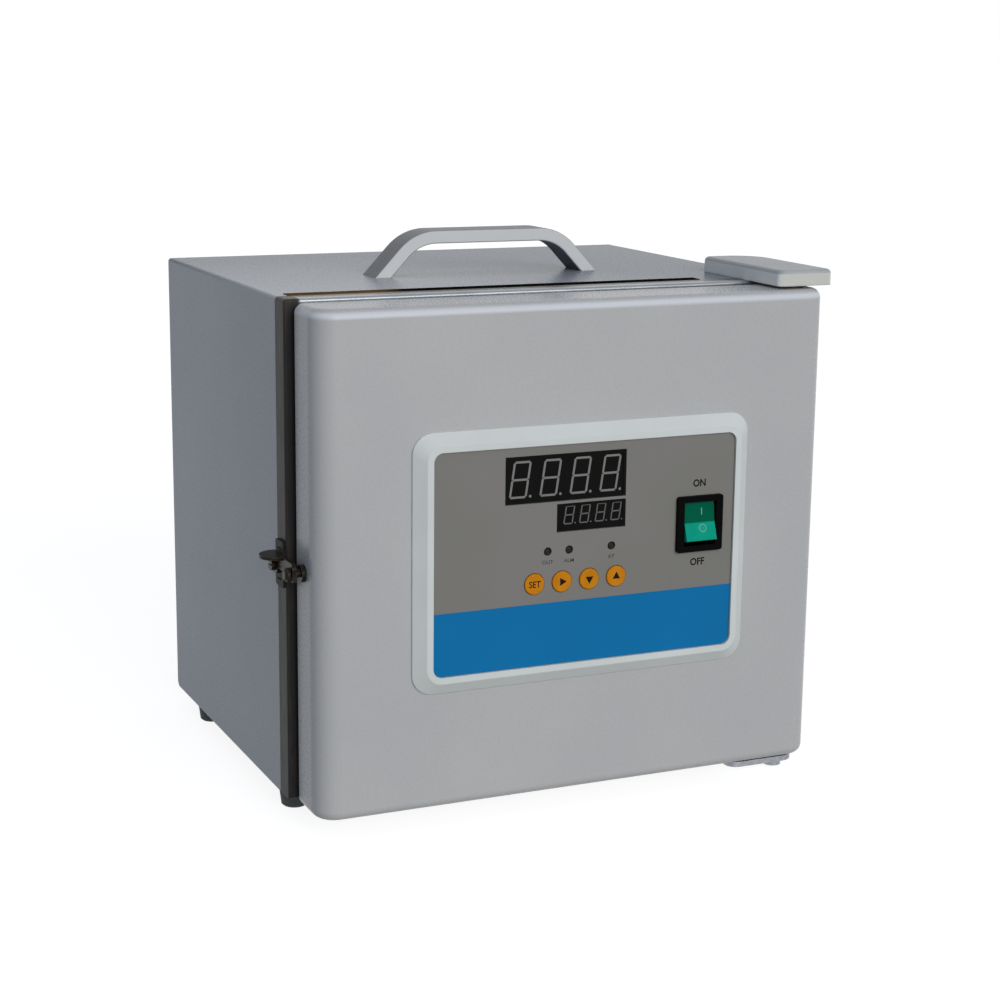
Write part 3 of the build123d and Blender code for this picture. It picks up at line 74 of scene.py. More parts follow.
# What all finishes share. The last three can be set in a finish.
surface = {
    "patchDetail": 3.0, "driftFrom": 0.35, "driftTo": 0.65,
    "grainDetail": 2.0, "grainFrom": 0.3, "grainTo": 0.7,
    "edgeSamples": 4, "flatUntil": 0.995, "sharpAt": 0.8, "mostWorn": 0.7,
    "edgeMm": 0.3, "ior": 1.5, "shine": 0.5,
}


def wornEdges(tree, soft):
    # high where the bevelled normal leaves the flat one
    plain = addNode(tree, "ShaderNodeNewGeometry").outputs["True Normal"]
    flat = addNode(tree, "ShaderNodeVectorMath", {0: soft, 1: plain}, operation="DOT_PRODUCT")
    return addNode(tree, "ShaderNodeMapRange",
                   {"Value": flat.outputs["Value"], "From Min": surface["flatUntil"],
                    "From Max": surface["sharpAt"], "To Max": surface["mostWorn"]}).outputs[0]


def finish(name, look):
    # tone drifts over patchMm, relief and gloss vary over grainMm, and layers and wear lie on top
    material = bpy.data.materials.new(name)
    material.use_nodes = True
    tree = material.node_tree
    tree.nodes.clear()
    place = addNode(tree, "ShaderNodeTexCoord").outputs["Object"]
    drawn = addNode(tree, "ShaderNodeMapping", {"Vector": place,
                                                "Scale": look.get("stretch", (1, 1, 1))}).outputs["Vector"]
    patches = addNode(tree, "ShaderNodeTexNoise", {"Vector": place, "Scale": 1 / (look["patchMm"] * mm),
                                                   "Detail": surface["patchDetail"]}).outputs["Fac"]
    grain = addNode(tree, "ShaderNodeTexNoise", {"Vector": drawn, "Scale": 1 / (look["grainMm"] * mm),
                                                 "Detail": surface["grainDetail"]}).outputs["Fac"]
    drift = addNode(tree, "ShaderNodeMapRange", {"Value": patches, "From Min": surface["driftFrom"],
                                                 "From Max": surface["driftTo"]}).outputs[0]
    soft = addNode(tree, "ShaderNodeBevel", {"Radius": look.get("edgeMm", surface["edgeMm"]) * mm},
                   samples=surface["edgeSamples"]).outputs[0]
    coats = [(drift, look["shade"])]
    for layer in look.get("layers", ()):
        coats += layer(tree, place)
    if "worn" in look:
        coats.append((wornEdges(tree, soft), look["worn"]))
    colour = look["colour"]
    for amount, tone in coats:
        # 6 and 7 are the colours of a Mix node, and 2 its mixed colour
        colour = addNode(tree, "ShaderNodeMix", {"Factor": amount, 6: colour, 7: tone},
                         data_type="RGBA").outputs[2]
    gloss = addNode(tree, "ShaderNodeMapRange",
                    {"Value": grain, "From Min": surface["grainFrom"], "From Max": surface["grainTo"],
                     "To Min": look["rough"] - look["roughSpan"],
                     "To Max": look["rough"] + look["roughSpan"]}).outputs[0]
    bump = addNode(tree, "ShaderNodeBump", {"Strength": look["relief"], "Distance": look["reliefMm"] * mm,
                                            "Height": grain, "Normal": soft}).outputs["Normal"]
    metallic = look.get("metallic", 0.0)
    if callable(metallic):
        metallic = metallic(tree, place)
    shader = addNode(tree, "ShaderNodeBsdfPrincipled",
                     {"Base Color": colour, "Metallic": metallic, "Roughness": gloss, "Normal": bump,
                      "IOR": look.get("ior", surface["ior"]),
                      "Specular IOR Level": look.get("shine", surface["shine"])})
    addNode(tree, "ShaderNodeOutputMaterial", {"Surface": shader.outputs["BSDF"]})
    return material


# Each layer below gives pairs: how much of it shows, and its tone.

# The blue band printed on the lower part of the panel's film
band = {"topMm": 103.7, "edgeMm": 0.2, "blue": "#0a76b1", "blueShade": "#096ea6", "patchMm": 40}


def blueBand(tree, place):
    top = shellLow[2] + band["topMm"] * mm
    below = stepAlong(tree, place, "Z", top, top - band["edgeMm"] * mm)
    drift = addNode(tree, "ShaderNodeTexNoise", {"Vector": place, "Scale": 1 / (band["patchMm"] * mm)})
    blue = addNode(tree, "ShaderNodeMix", {"Factor": drift.outputs["Fac"], 6: band["blue"],
                                           7: band["blueShade"]}, data_type="RGBA").outputs[2]
    return [(below, blue)]


# The steel collar round the mouth: bright in front and on top; its sides painted dark, with paler streaks,
# as a painted dark reflection, and a brown painted shade and reflection where the cabinet's sheet laps over
# it
collar = {
    "sideMm": 9.0, "fadeMm": 1.5, "dark": "#393838", "streak": "#48403c", "streakMm": 2.4,
    "streakLength": 10, "streakDetail": 4.0, "streakRough": 0.7, "streakFrom": 0.5, "streakTo": 0.72,
    "brightMm": 6.0, "lapMm": 0.8, "lap": "#3b332c",
}


def plainSteelMask(tree, place):
    # 1 on bare metal, 0 on the sides painted dark
    low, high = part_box("front_frame")
    side = collar["sideMm"] * mm
    fade = collar["fadeMm"] * mm
    fromLeft = stepAlong(tree, place, "X", low[0] + side - fade, low[0] + side)
    toRight = stepAlong(tree, place, "X", high[0] - side + fade, high[0] - side)
    return addNode(tree, "ShaderNodeMath", {0: fromLeft, 1: toRight}, operation="MULTIPLY").outputs[0]


def paintedDarkSides(tree, place):
    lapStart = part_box("front_frame")[0][1] + collar["brightMm"] * mm
    lapped = stepAlong(tree, place, "Y", lapStart, lapStart + collar["lapMm"] * mm)
    drawn = addNode(tree, "ShaderNodeMapping", {"Vector": place, "Scale": (1, 1, 1 / collar["streakLength"])})
    streaks = addNode(tree, "ShaderNodeTexNoise",
                      {"Vector": drawn.outputs["Vector"], "Scale": 1 / (collar["streakMm"] * mm),
                       "Detail": collar["streakDetail"], "Roughness": collar["streakRough"]})
    streaked = addNode(tree, "ShaderNodeMapRange",
                       {"Value": streaks.outputs["Fac"], "From Min": collar["streakFrom"],
                        "From Max": collar["streakTo"]})
    darkSideTone = addNode(tree, "ShaderNodeMix", {"Factor": streaked.outputs[0], 6: collar["dark"],
                                            7: collar["streak"]}, data_type="RGBA").outputs[2]
    paintedSides = addNode(tree, "ShaderNodeMath", {0: 1.0, 1: plainSteelMask(tree, place)}, operation="SUBTRACT")
    return [(lapped, collar["lap"]), (paintedSides.outputs[0], darkSideTone)]


# A low dark strip in the joint of collar and top sheet, brown at its left end and black further on: painted
# shade and dark reflection, standing in for the collar's mirror top. The turn is a share of the cabinet's
# width.
paintedDarkLine = {"deepMm": 8.0, "proudMm": 0.25, "edgeMm": 0.15, "leftMm": 7.0, "rightMm": 48.0,
           "black": "#141313", "turnFrom": 0.2, "turnTo": 0.24}


def blackPart(tree, place):
    wide = shellHigh[0] - shellLow[0]
    return [(stepAlong(tree, place, "X", shellLow[0] + paintedDarkLine["turnFrom"] * wide,
                       shellLow[0] + paintedDarkLine["turnTo"] * wide), paintedDarkLine["black"])]


# The cabinet's top is painted a tone of its own, as painted shade and sky reflection: paler at the front left
# and darker towards the back and the right. The ends of its fading are shares of the depth and the width.
topShading = {"pale": "#bcbec1", "shadedBack": "#7f858e", "fromMm": 2.0, "toMm": 1.0, "backTo": 0.9,
        "acrossFrom": 0.35, "acrossTo": 0.9}


def paintedTopShading(tree, place):
    wide = shellHigh[0] - shellLow[0]
    deep = shellHigh[1] - shellLow[1]
    onTop = stepAlong(tree, place, "Z", shellHigh[2] - topShading["fromMm"] * mm, shellHigh[2] - topShading["toMm"] * mm)
    back = stepAlong(tree, place, "Y", shellLow[1], shellLow[1] + topShading["backTo"] * deep)
    across = stepAlong(tree, place, "X", shellLow[0] + topShading["acrossFrom"] * wide,
                       shellLow[0] + topShading["acrossTo"] * wide)
    thinned = addNode(tree, "ShaderNodeMath", {0: back, 1: across}, operation="ADD", use_clamp=True)
    tone = addNode(tree, "ShaderNodeMix", {"Factor": thinned.outputs[0], 6: topShading["pale"], 7: topShading["shadedBack"]},
                   data_type="RGBA").outputs[2]
    return [(onTop, tone)]


# A painted highlight along the door's top rim: the coat is painted paler there, as the sky's reflection on
# the rounding. Lengths are down from the top.
rimHighlight = {"pale": "#d3d6de", "startMm": 5.4, "peakMm": 3.6, "pastMm": 2.4, "endMm": 1.0}


def paintedRimHighlight(tree, place):
    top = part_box("door_skin")[1][2]
    up = stepAlong(tree, place, "Z", top - rimHighlight["startMm"] * mm, top - rimHighlight["peakMm"] * mm)
    over = stepAlong(tree, place, "Z", top - rimHighlight["endMm"] * mm, top - rimHighlight["pastMm"] * mm)
    amount = addNode(tree, "ShaderNodeMath", {0: up, 1: over}, operation="MULTIPLY").outputs[0]
    return [(amount, rimHighlight["pale"])]


# Painted light on the hinge cover's skirt below its top: pale on the shaded flanks, and a warmer, less pale
# grey along its front
litSkirt = {"pale": "#f4f5f3", "paintedFront": "#cbccc5", "frontMm": 2.0, "dropMm": 1.6, "fadeMm": 0.8}


def paintedLitSkirt(tree, place):
    low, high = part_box("hinge_cover")
    end = high[2] - litSkirt["dropMm"] * mm
    below = stepAlong(tree, place, "Z", end, end - litSkirt["fadeMm"] * mm)
    behind = stepAlong(tree, place, "Y", low[1], low[1] + litSkirt["frontMm"] * mm)
    tone = addNode(tree, "ShaderNodeMix", {"Factor": behind, 6: litSkirt["paintedFront"], 7: litSkirt["pale"]},
                   data_type="RGBA").outputs[2]
    return [(below, tone)]


# The handle bar: its end faces in front and behind are painted light and its broad faces dark, as painted
# light and shade
grip = {"edge": "#c7c9cb", "edgeMm": 0.2, "fadeToMm": 0.6}


def paintedLitEdges(tree, place):
    low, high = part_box("carry_handle")
    edge = grip["edgeMm"] * mm
    fadeTo = grip["fadeToMm"] * mm
    return [(stepAlong(tree, place, "Y", low[1] + fadeTo, low[1] + edge), grip["edge"]),
            (stepAlong(tree, place, "Y", high[1] - fadeTo, high[1] - edge), grip["edge"])]


# Painted shade on the rocker: its upper half, which leans away from the light, and its left flank are painted
# a darker green
rockerShade = {"deep": "#055f47", "flank": "#08402f", "fadeMm": 0.3, "flankMm": 0.1}


def shadedHalf(tree, place):
    low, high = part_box("switch_rocker")
    middle = (low[2] + high[2]) / 2
    fade = rockerShade["fadeMm"] * mm
    above = stepAlong(tree, place, "Z", middle - fade, middle + fade)
    beside = stepAlong(tree, place, "X", low[0] + fade, low[0] + rockerShade["flankMm"] * mm)
    return [(above, rockerShade["deep"]), (beside, rockerShade["flank"])]


# Copper tracks under the solder mask show as paler lines round small cells
board = {"track": "#3b8a52", "cellMm": 2.2, "fadeFrom": 0.12, "fadeTo": 0.06}


def copperTracks(tree, place):
    cells = addNode(tree, "ShaderNodeTexVoronoi", {"Vector": place, "Scale": 1 / (board["cellMm"] * mm)},
                    feature="DISTANCE_TO_EDGE")
    line = addNode(tree, "ShaderNodeMapRange",
                   {"Value": cells.outputs["Distance"], "From Min": board["fadeFrom"],
                    "From Max": board["fadeTo"]})
    return [(line.outputs[0], board["track"])]


finishes = {
    # polyester powder coat, baked: soft sheen, a faint orange peel, paler where edges are rubbed, and a
    # painted highlight on the top rim
    "powderCoat": dict(colour="#b9babb", shade="#b5b6b8", rough=0.28, roughSpan=0.04, patchMm=80,
                       worn="#bdbebf", grainMm=1.6, relief=0.1, reliefMm=0.008, layers=[paintedRimHighlight], shine=0.2),
    # the same coat on the cabinet, with hardly any sheen, and painted a little bluer as painted sky light on
    # its shaded sides
    "skyTintedCoat": dict(colour="#c0c4c9", shade="#bbbfc4", rough=0.26, roughSpan=0.04, patchMm=80,
                        worn="#c8ccd0", grainMm=1.6, relief=0.1, reliefMm=0.008,
                        layers=[paintedTopShading], shine=0.03),
    # ABS, moulded with a fine spark-eroded grain: white, slightly cool
    "mouldedAbs": dict(colour="#d7dcdc", shade="#d2d7d6", rough=0.42, roughSpan=0.04, patchMm=40,
                       grainMm=0.7, relief=0.12, reliefMm=0.04, worn="#dcdfde", edgeMm=0.5, shine=0.22),
    # ABS hinge cover, greyer and more rubbed than the panel's rim
    "rubbedAbs": dict(colour="#b0b3b5", shade="#a7abad", rough=0.4, roughSpan=0.06, patchMm=25,
                      grainMm=0.7, relief=0.12, reliefMm=0.04, layers=[paintedLitSkirt], edgeMm=1.2, shine=0.22),
    # polycarbonate film, screen printed from behind: an even satin
    "printedFilm": dict(colour="#82807d", shade="#7e7d79", rough=0.34, roughSpan=0.03, patchMm=60,
                        grainMm=0.8, relief=0.05, reliefMm=0.02, layers=[blueBand], shine=0.1),
    # stainless sheet, bright rolled: long faint marks
    "brightStainless": dict(colour="#a9abad", shade="#989b9e", rough=0.24, roughSpan=0.07, metallic=1.0,
                            patchMm=30, grainMm=1.2, relief=0.1, reliefMm=0.03, stretch=(1, 1, 0.08),
                            worn="#c0c2c4"),
    # the same sheet round the cabinet's mouth, scuffed grey, and metal only away from its sides, which are
    # painted dark as a dark reflection
    "sideShadedStainless": dict(colour="#8d9298", shade="#82888e", rough=0.34, roughSpan=0.06,
                             metallic=plainSteelMask, patchMm=25, grainMm=1.2, relief=0.1, reliefMm=0.03,
                             stretch=(1, 1, 0.08), layers=[paintedDarkSides], shine=0.04),
    # zinc-plated screws and pins: cool grey, slightly milky
    "zincPlate": dict(colour="#9a9da3", shade="#888b91", rough=0.34, roughSpan=0.06, metallic=1.0,
                      patchMm=4, grainMm=0.6, relief=0.1, reliefMm=0.02, worn="#b4b6ba"),
    # nickel-plated lever and stud, dark brown, with little of the metal's mirror left, and paler edges as
    # painted highlights
    "darkNickel": dict(colour="#2f2a26", shade="#1f1b19", rough=0.3, roughSpan=0.1, metallic=0.2,
                          shine=0.06, patchMm=4, grainMm=0.6, relief=0.15, reliefMm=0.03, worn="#74685c"),
    # the latch's mounting plate and screws, painted nearly black as the shade and dark reflection down the
    # collar's side
    "shadedPlate": dict(colour="#34312f", shade="#292624", rough=0.46, roughSpan=0.08, metallic=0.1,
                      shine=0.03, patchMm=4, grainMm=0.6, relief=0.15, reliefMm=0.03),
    # welded wire, electropolished
    "polishedWire": dict(colour="#c9cacb", shade="#bcbec0", rough=0.18, roughSpan=0.05, metallic=1.0,
                         patchMm=20, grainMm=0.8, relief=0.05, reliefMm=0.02),
    # aluminium bar, bead blasted and clear anodised: a grey satin, painted dark as painted shade on its broad
    # faces
    "shadedFacesBar": dict(colour="#6b6d73", shade="#64666c", rough=0.42, roughSpan=0.05, patchMm=18,
                        grainMm=0.7, relief=0.1, reliefMm=0.02, layers=[paintedLitEdges], shine=0.25),
    # heater strip of resistance steel, tinted by heat in patches
    "heatedSteel": dict(colour="#766a5c", shade="#4e4d5c", rough=0.36, roughSpan=0.06, metallic=1.0,
                        patchMm=14, grainMm=0.7, relief=0.1, reliefMm=0.03),
    # turned brass: yellow, with a soft shine
    "turnedBrass": dict(colour="#c9a35a", shade="#bd964f", rough=0.28, roughSpan=0.05, metallic=1.0,
                        patchMm=5, grainMm=0.5, relief=0.1, reliefMm=0.02),
    # bushes of sintered bronze, soaked with oil: brown and dull
    "oiledBronze": dict(colour="#4d3c28", shade="#3b2e1f", rough=0.5, roughSpan=0.06, metallic=1.0,
                        patchMm=3, grainMm=0.4, relief=0.3, reliefMm=0.03),
    # matt brown and black: painted shade and dark reflection in the joint
    "paintedLineTone": dict(colour="#7d5c3a", shade="#6b4d30", rough=0.85, roughSpan=0.08, patchMm=12,
                         grainMm=0.7, relief=0.2, reliefMm=0.05, layers=[blackPart], shine=0.0),
    # silicone gasket: dark and matt, darker along its edges
    "siliconeRubber": dict(colour="#40454e", shade="#363a42", rough=0.6, roughSpan=0.08, patchMm=18,
                           grainMm=0.8, relief=0.25, reliefMm=0.05, worn="#34373c"),
    # natural rubber feet, scuffed on the rim
    "naturalRubber": dict(colour="#3c4142", shade="#313637", rough=0.7, roughSpan=0.08, patchMm=8,
                          grainMm=0.8, relief=0.3, reliefMm=0.06, worn="#565a5b"),
    # mineral wool board: short fibres lying flat
    "mineralWool": dict(colour="#b9a26a", shade="#9c8452", rough=0.93, roughSpan=0.05, patchMm=9,
                        grainMm=0.9, relief=0.6, reliefMm=0.4, stretch=(0.3, 0.3, 1)),
    # glass-filled nylon of switch, inlet and fuse holder: black with a low sheen
    "blackNylon": dict(colour="#050506", shade="#040405", rough=0.36, roughSpan=0.06, patchMm=12,
                       grainMm=0.5, relief=0.15, reliefMm=0.03, worn="#0d0e0f", shine=0.03),
    # smoked acrylic over a display: near black and smooth
    "smokedAcrylic": dict(colour="#0c0c0b", shade="#090909", rough=0.2, roughSpan=0.04, ior=1.49,
                          patchMm=20, grainMm=0.8, relief=0.03, reliefMm=0.01, shine=0.06),
    # unlit bars of the large display: milky resin
    "milkyResin": dict(colour="#73736f", shade="#6d6d6a", rough=0.42, roughSpan=0.04, patchMm=3,
                       grainMm=0.4, relief=0.05, reliefMm=0.01),
    # unlit bars of the small display, seen through darker acrylic
    "duskyResin": dict(colour="#4f514f", shade="#4a4c4a", rough=0.42, roughSpan=0.04, patchMm=3,
                       grainMm=0.4, relief=0.05, reliefMm=0.01),
    # unlit lamp lens: smoked epoxy
    "smokedEpoxy": dict(colour="#151414", shade="#1c1a1a", rough=0.16, roughSpan=0.04, patchMm=2,
                        grainMm=0.4, relief=0.03, reliefMm=0.01, shine=0.2),
    # green solder mask over copper
    "solderMask": dict(colour="#1b4a2c", shade="#1f5232", rough=0.3, roughSpan=0.06, patchMm=6,
                       grainMm=0.8, relief=0.1, reliefMm=0.03, layers=[copperTracks]),
    # amber polycarbonate keys: satin, a little deeper in patches
    "amberPolycarbonate": dict(colour="#d0840e", shade="#c27a08", rough=0.36, roughSpan=0.04, patchMm=5,
                               grainMm=0.5, relief=0.1, reliefMm=0.02, worn="#d8901c", shine=0.12),
    # green polycarbonate rocker: smooth and deep, with little gloss
    "greenPolycarbonate": dict(colour="#10a389", shade="#109a80", rough=0.26, roughSpan=0.04, patchMm=7,
                               grainMm=0.5, relief=0.05, reliefMm=0.01, layers=[shadedHalf], shine=0.01),
    # black screen ink: slightly raised, matt
    "blackInk": dict(colour="#121214", shade="#19191b", rough=0.5, roughSpan=0.05, patchMm=3,
                     grainMm=0.4, relief=0.1, reliefMm=0.01, shine=0.05),
    # grey ink of the small lamp legends, printed thin
    "greyInk": dict(colour="#242424", shade="#2b2b2b", rough=0.5, roughSpan=0.05, patchMm=2,
                    grainMm=0.4, relief=0.1, reliefMm=0.01),
    # the rocker's marks, moulded in a paler milky green
    "milkyGreen": dict(colour="#63b8a4", shade="#5aae9a", rough=0.45, roughSpan=0.05, patchMm=2,
                       grainMm=0.4, relief=0.1, reliefMm=0.01, shine=0.1),
}
materials = {name: finish(name, look) for name, look in finishes.items()}
print("stage: finishes made")

nodeFinishes = {
    "powderCoat": ["door_skin"],
    "skyTintedCoat": ["cabinet_shell", "base_panel", "back_panel"],
    "mouldedAbs": ["panel_bezel"],
    "rubbedAbs": ["hinge_cover"],
    "printedFilm": ["panel_faceplate"],
    "brightStainless": ["chamber_liner", "door_liner", "chamber_floor_plate"],
    "sideShadedStainless": ["front_frame"],
    "zincPlate": ["back_screws", "foot_screws", "handle_nuts", "inlet_screws", "top_hinge_plate",
                  "top_hinge_pin", "top_hinge_screws", "lower_hinge_plate", "lower_hinge_pin",
                  "lower_hinge_screws", "temperature_probe"],
    "darkNickel": ["latch_lever", "latch_pivot", "latch_stud"],
    "shadedPlate": ["latch_base", "latch_screws"],
    "polishedWire": ["wire_shelf"],
    "shadedFacesBar": ["carry_handle"],
    "heatedSteel": ["heater_element"],
    "turnedBrass": ["inlet_pins"],
    "oiledBronze": ["upper_bush", "lower_bush"],
    "siliconeRubber": ["door_gasket"],
    "naturalRubber": ["foot_front_left", "foot_front_right", "foot_rear_left", "foot_rear_right"],
    "mineralWool": ["cabinet_insulation", "door_insulation"],
    "blackNylon": ["power_inlet", "fuse_holder", "switch_body"],
    "smokedAcrylic": ["display_large", "display_small"],
    "smokedEpoxy": ["indicator_leds"],
    "solderMask": ["controller_board", "power_supply"],
    "amberPolycarbonate": ["key_mode", "key_shift", "key_down", "key_up"],
    "greenPolycarbonate": ["switch_rocker"],
}
for finishName, nodes in nodeFinishes.items():
    for nodeName in nodes:
        mesh = frame["nodes"][nodeName].data
        mesh.materials.clear()
        mesh.materials.append(materials[finishName])
print("stage: frame nodes dressed")


def deselectAll():
    if bpy.context.mode != "OBJECT":
        bpy.ops.object.mode_set(mode="OBJECT")
    bpy.ops.object.select_all(action="DESELECT")


levelFace = 0.9  # a face counts as level where its normal's Z passes this
dotSides = 12


def pickFaces(piece, chosen):
    # goes to edit mode with only the chosen faces selected
    bpy.ops.object.mode_set(mode="EDIT")
    bpy.ops.mesh.select_mode(type="FACE")
    bpy.ops.mesh.select_all(action="DESELECT")
    bpy.ops.object.mode_set(mode="OBJECT")
    for face in piece.data.polygons:
        face.select = chosen(face)
    bpy.ops.object.mode_set(mode="EDIT")


def leaveFaces():
    bpy.ops.mesh.select_mode(type="VERT")
    bpy.ops.object.mode_set(mode="OBJECT")


def settle(piece, name, finishName, body):
    # puts the piece's place into its mesh, and gives it its finish, body and slot
    deselectAll()
    piece.select_set(True)
    bpy.context.view_layer.objects.active = piece
    bpy.ops.object.transform_apply(location=True, rotation=True, scale=True)
    piece.name = name
    piece.data.name = name
    piece.data.materials.clear()
    piece.data.materials.append(materials[finishName])
    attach(piece, body)


# How all lettering is made. Capitals are this share of the font's size.
lettering = {"proudMm": 0.05, "capitals": 0.7, "curveSteps": 4}


def printText(name, words, look, centre, body):
    # centre lies on the surface, and the letters face forward
    deselectAll()
    bpy.ops.object.text_add(location=(0, 0, 0))
    text = bpy.context.object
    text.data.body = words
    text.data.align_x = "CENTER"
    text.data.resolution_u = lettering["curveSteps"]
    text.data.size = look["heightMm"] * mm / lettering["capitals"]
    text.data.offset = look["boldMm"] * mm
    text.data.extrude = lettering["proudMm"] * mm
    bpy.ops.object.convert(target="MESH")
    bpy.context.view_layer.update()
    heights = [vertex.co.y for vertex in text.data.vertices]
    middle = (min(heights) + max(heights)) / 2
    text.data.transform(Matrix.Diagonal((look["wide"], 1, 1, 1)) @ Matrix.Translation((0, -middle, 0)))
    text.rotation_euler = (math.radians(90), 0, 0)
    text.location = centre
    settle(text, name, look["ink"], body)


def flatShape(sides, radius, thickness, turn=0.0):
    # a plain outline with straight sides, raised by one extrude about its middle plane
    deselectAll()
    bpy.ops.mesh.primitive_circle_add(vertices=sides, radius=radius, fill_type="NGON", location=(0, 0, 0))
    shape = bpy.context.object
    bpy.ops.object.mode_set(mode="EDIT")
    bpy.ops.mesh.select_all(action="SELECT")
    bpy.ops.transform.rotate(value=-math.radians(turn), orient_axis="Z", center_override=(0, 0, 0))
    bpy.ops.transform.translate(value=(0, 0, -thickness / 2))
    bpy.ops.mesh.extrude_region_move(TRANSFORM_OT_translate={"value": (0, 0, thickness)})
    bpy.ops.mesh.select_all(action="SELECT")
    bpy.ops.mesh.normals_make_consistent(inside=False)
    bpy.ops.object.mode_set(mode="OBJECT")
    return shape


def copyOf(piece, place):
    twin = piece.copy()
    twin.data = piece.data.copy()
    bpy.context.scene.collection.objects.link(twin)
    twin.data.transform(place)
    return twin


def joinAll(shapes):
    deselectAll()
    for shape in shapes:
        shape.select_set(True)
    bpy.context.view_layer.objects.active = shapes[0]
    bpy.ops.object.join()
    return bpy.context.object


def standUp(degrees=90):
    # from lying on its back to facing forward
    return Matrix.Rotation(math.radians(degrees), 4, "X")


def displayBar(length, width, thickness):
    # a hexagon pulled out along Y, so that its ends stay pointed
    radius = width / math.sqrt(3)
    bar = flatShape(6, radius, thickness)
    for side in (1, -1):
        bpy.ops.object.mode_set(mode="EDIT")
        bpy.ops.mesh.select_all(action="DESELECT")
        bpy.ops.object.mode_set(mode="OBJECT")
        for vertex in bar.data.vertices:
            vertex.select = vertex.co.y * side > 0
        bpy.ops.object.mode_set(mode="EDIT")
        bpy.ops.transform.translate(value=(0, side * (length / 2 - radius), 0))
        bpy.ops.object.mode_set(mode="OBJECT")
    return bar


def displayDigit(look):
    # seven bars leaning by the slant, and a dot at the lower right
    thick = look["barMm"] * mm
    deep = look["depthMm"] * mm
    gap = look["gapMm"] * mm
    slant = math.radians(look["slant"])
    across = look["widthMm"] * mm - thick
    rise = (look["heightMm"] * mm - thick) / 2
    bar = displayBar(rise / math.cos(slant) - gap, thick, deep)
    lyingBar = displayBar(across - gap, thick, deep)
    shapes = []
    for level in (-1, 0, 1):
        place = Matrix.Translation((level * rise * math.tan(slant), level * rise, 0))
        shapes.append(copyOf(lyingBar, place @ Matrix.Rotation(math.radians(90), 4, "Z")))
    for side in (-1, 1):
        for level in (-0.5, 0.5):
            place = Matrix.Translation((side * across / 2 + level * rise * math.tan(slant), level * rise, 0))
            shapes.append(copyOf(bar, place @ Matrix.Rotation(-slant, 4, "Z")))
    radius = look["dotMm"] * mm / 2
    dot = flatShape(dotSides, radius, deep)
    dotPlace = (look["dotOutMm"] * mm, radius - rise - thick / 2, 0)
    shapes.append(copyOf(dot, Matrix.Translation(dotPlace)))
    for used in (bar, lyingBar, dot):
        bpy.data.objects.remove(used)
    return joinAll(shapes)


# The painted dark strip is bevelled along its upper edges
deselectAll()
stripLow = Vector((shellLow[0] + paintedDarkLine["leftMm"] * mm, shellLow[1], shellHigh[2] - paintedDarkLine["proudMm"] * mm))
stripHigh = Vector((shellHigh[0] - paintedDarkLine["rightMm"] * mm, shellLow[1] + paintedDarkLine["deepMm"] * mm,
                    shellHigh[2] + paintedDarkLine["proudMm"] * mm))
bpy.ops.mesh.primitive_cube_add(size=1, location=(stripLow + stripHigh) / 2, scale=stripHigh - stripLow)
strip = bpy.context.object
bpy.ops.object.transform_apply(location=True, rotation=True, scale=True)
pickFaces(strip, lambda face: face.normal.z > levelFace)
bpy.ops.mesh.inset(thickness=paintedDarkLine["edgeMm"] * mm)
bpy.ops.transform.translate(value=(0, 0, paintedDarkLine["edgeMm"] * mm / 2))
leaveFaces()
settle(strip, "painted_dark_line", "paintedLineTone", "cabinet")
print("stage: joint sealed")

# The unlit digits of both displays. Aside and up are from the middle of a display's face.
displays = {
    "display_large": dict(widthMm=9.9, heightMm=19.2, barMm=1.15, slant=8.3, gapMm=0.25, dotMm=1.5,
                          dotOutMm=5.6, depthMm=0.24, pitchMm=17.0, asideMm=-0.2, upMm=0.3,
                          pocketMm=0.4, digits=4, finish="milkyResin"),
    "display_small": dict(widthMm=5.4, heightMm=9.9, barMm=0.7, slant=8.3, gapMm=0.16, dotMm=0.9,
                          dotOutMm=3.4, depthMm=0.2, pitchMm=8.95, asideMm=1.0, upMm=1.2,
                          pocketMm=0.4, digits=4, finish="duskyResin"),
}
for displayName, look in displays.items():
    low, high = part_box(displayName)
    digit = displayDigit(look)
    middle = Vector(((low[0] + high[0]) / 2 + look["asideMm"] * mm, low[1] + look["pocketMm"] * mm,
                     (low[2] + high[2]) / 2 + look["upMm"] * mm))
    for index in range(look["digits"]):
        across = (index - (look["digits"] - 1) / 2) * look["pitchMm"] * mm
        placed = copyOf(digit, Matrix.Translation(middle + Vector((across, 0, 0))) @ standUp())
        settle(placed, f"{displayName}_digit_{index + 1}", look["finish"], "door")
    bpy.data.objects.remove(digit)
print("stage: display digits made")

# Legends on the film. Heights are those of capitals.
switchLegend = {"heightMm": 3.7, "boldMm": 0.14, "wide": 0.92, "ink": "blackInk", "onGapMm": 6.6,
                "offGapMm": 5.9}
lampLegend = {"heightMm": 1.9, "boldMm": 0.03, "wide": 1.1, "ink": "greyInk", "dropMm": 5.6,
              "asideMm": {"OUT": -22.5, "ALM": -10.3, "AT": 14.0}}
filmLow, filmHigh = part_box("panel_faceplate")
switchLow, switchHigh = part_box("switch_body")
lampLow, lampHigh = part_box("indicator_leds")
switchX = (switchLow[0] + switchHigh[0]) / 2
for word, level in (("ON", switchHigh[2] + switchLegend["onGapMm"] * mm),
                    ("OFF", switchLow[2] - switchLegend["offGapMm"] * mm)):
    printText(f"legend_{word.lower()}", word, switchLegend, (switchX, filmLow[1], level), "door")
level = (lampLow[2] + lampHigh[2]) / 2 - lampLegend["dropMm"] * mm
for word, asideMm in lampLegend["asideMm"].items():
    spot = ((filmLow[0] + filmHigh[0]) / 2 + asideMm * mm, filmLow[1], level)
    printText(f"legend_{word.lower()}", word, lampLegend, spot, "door")

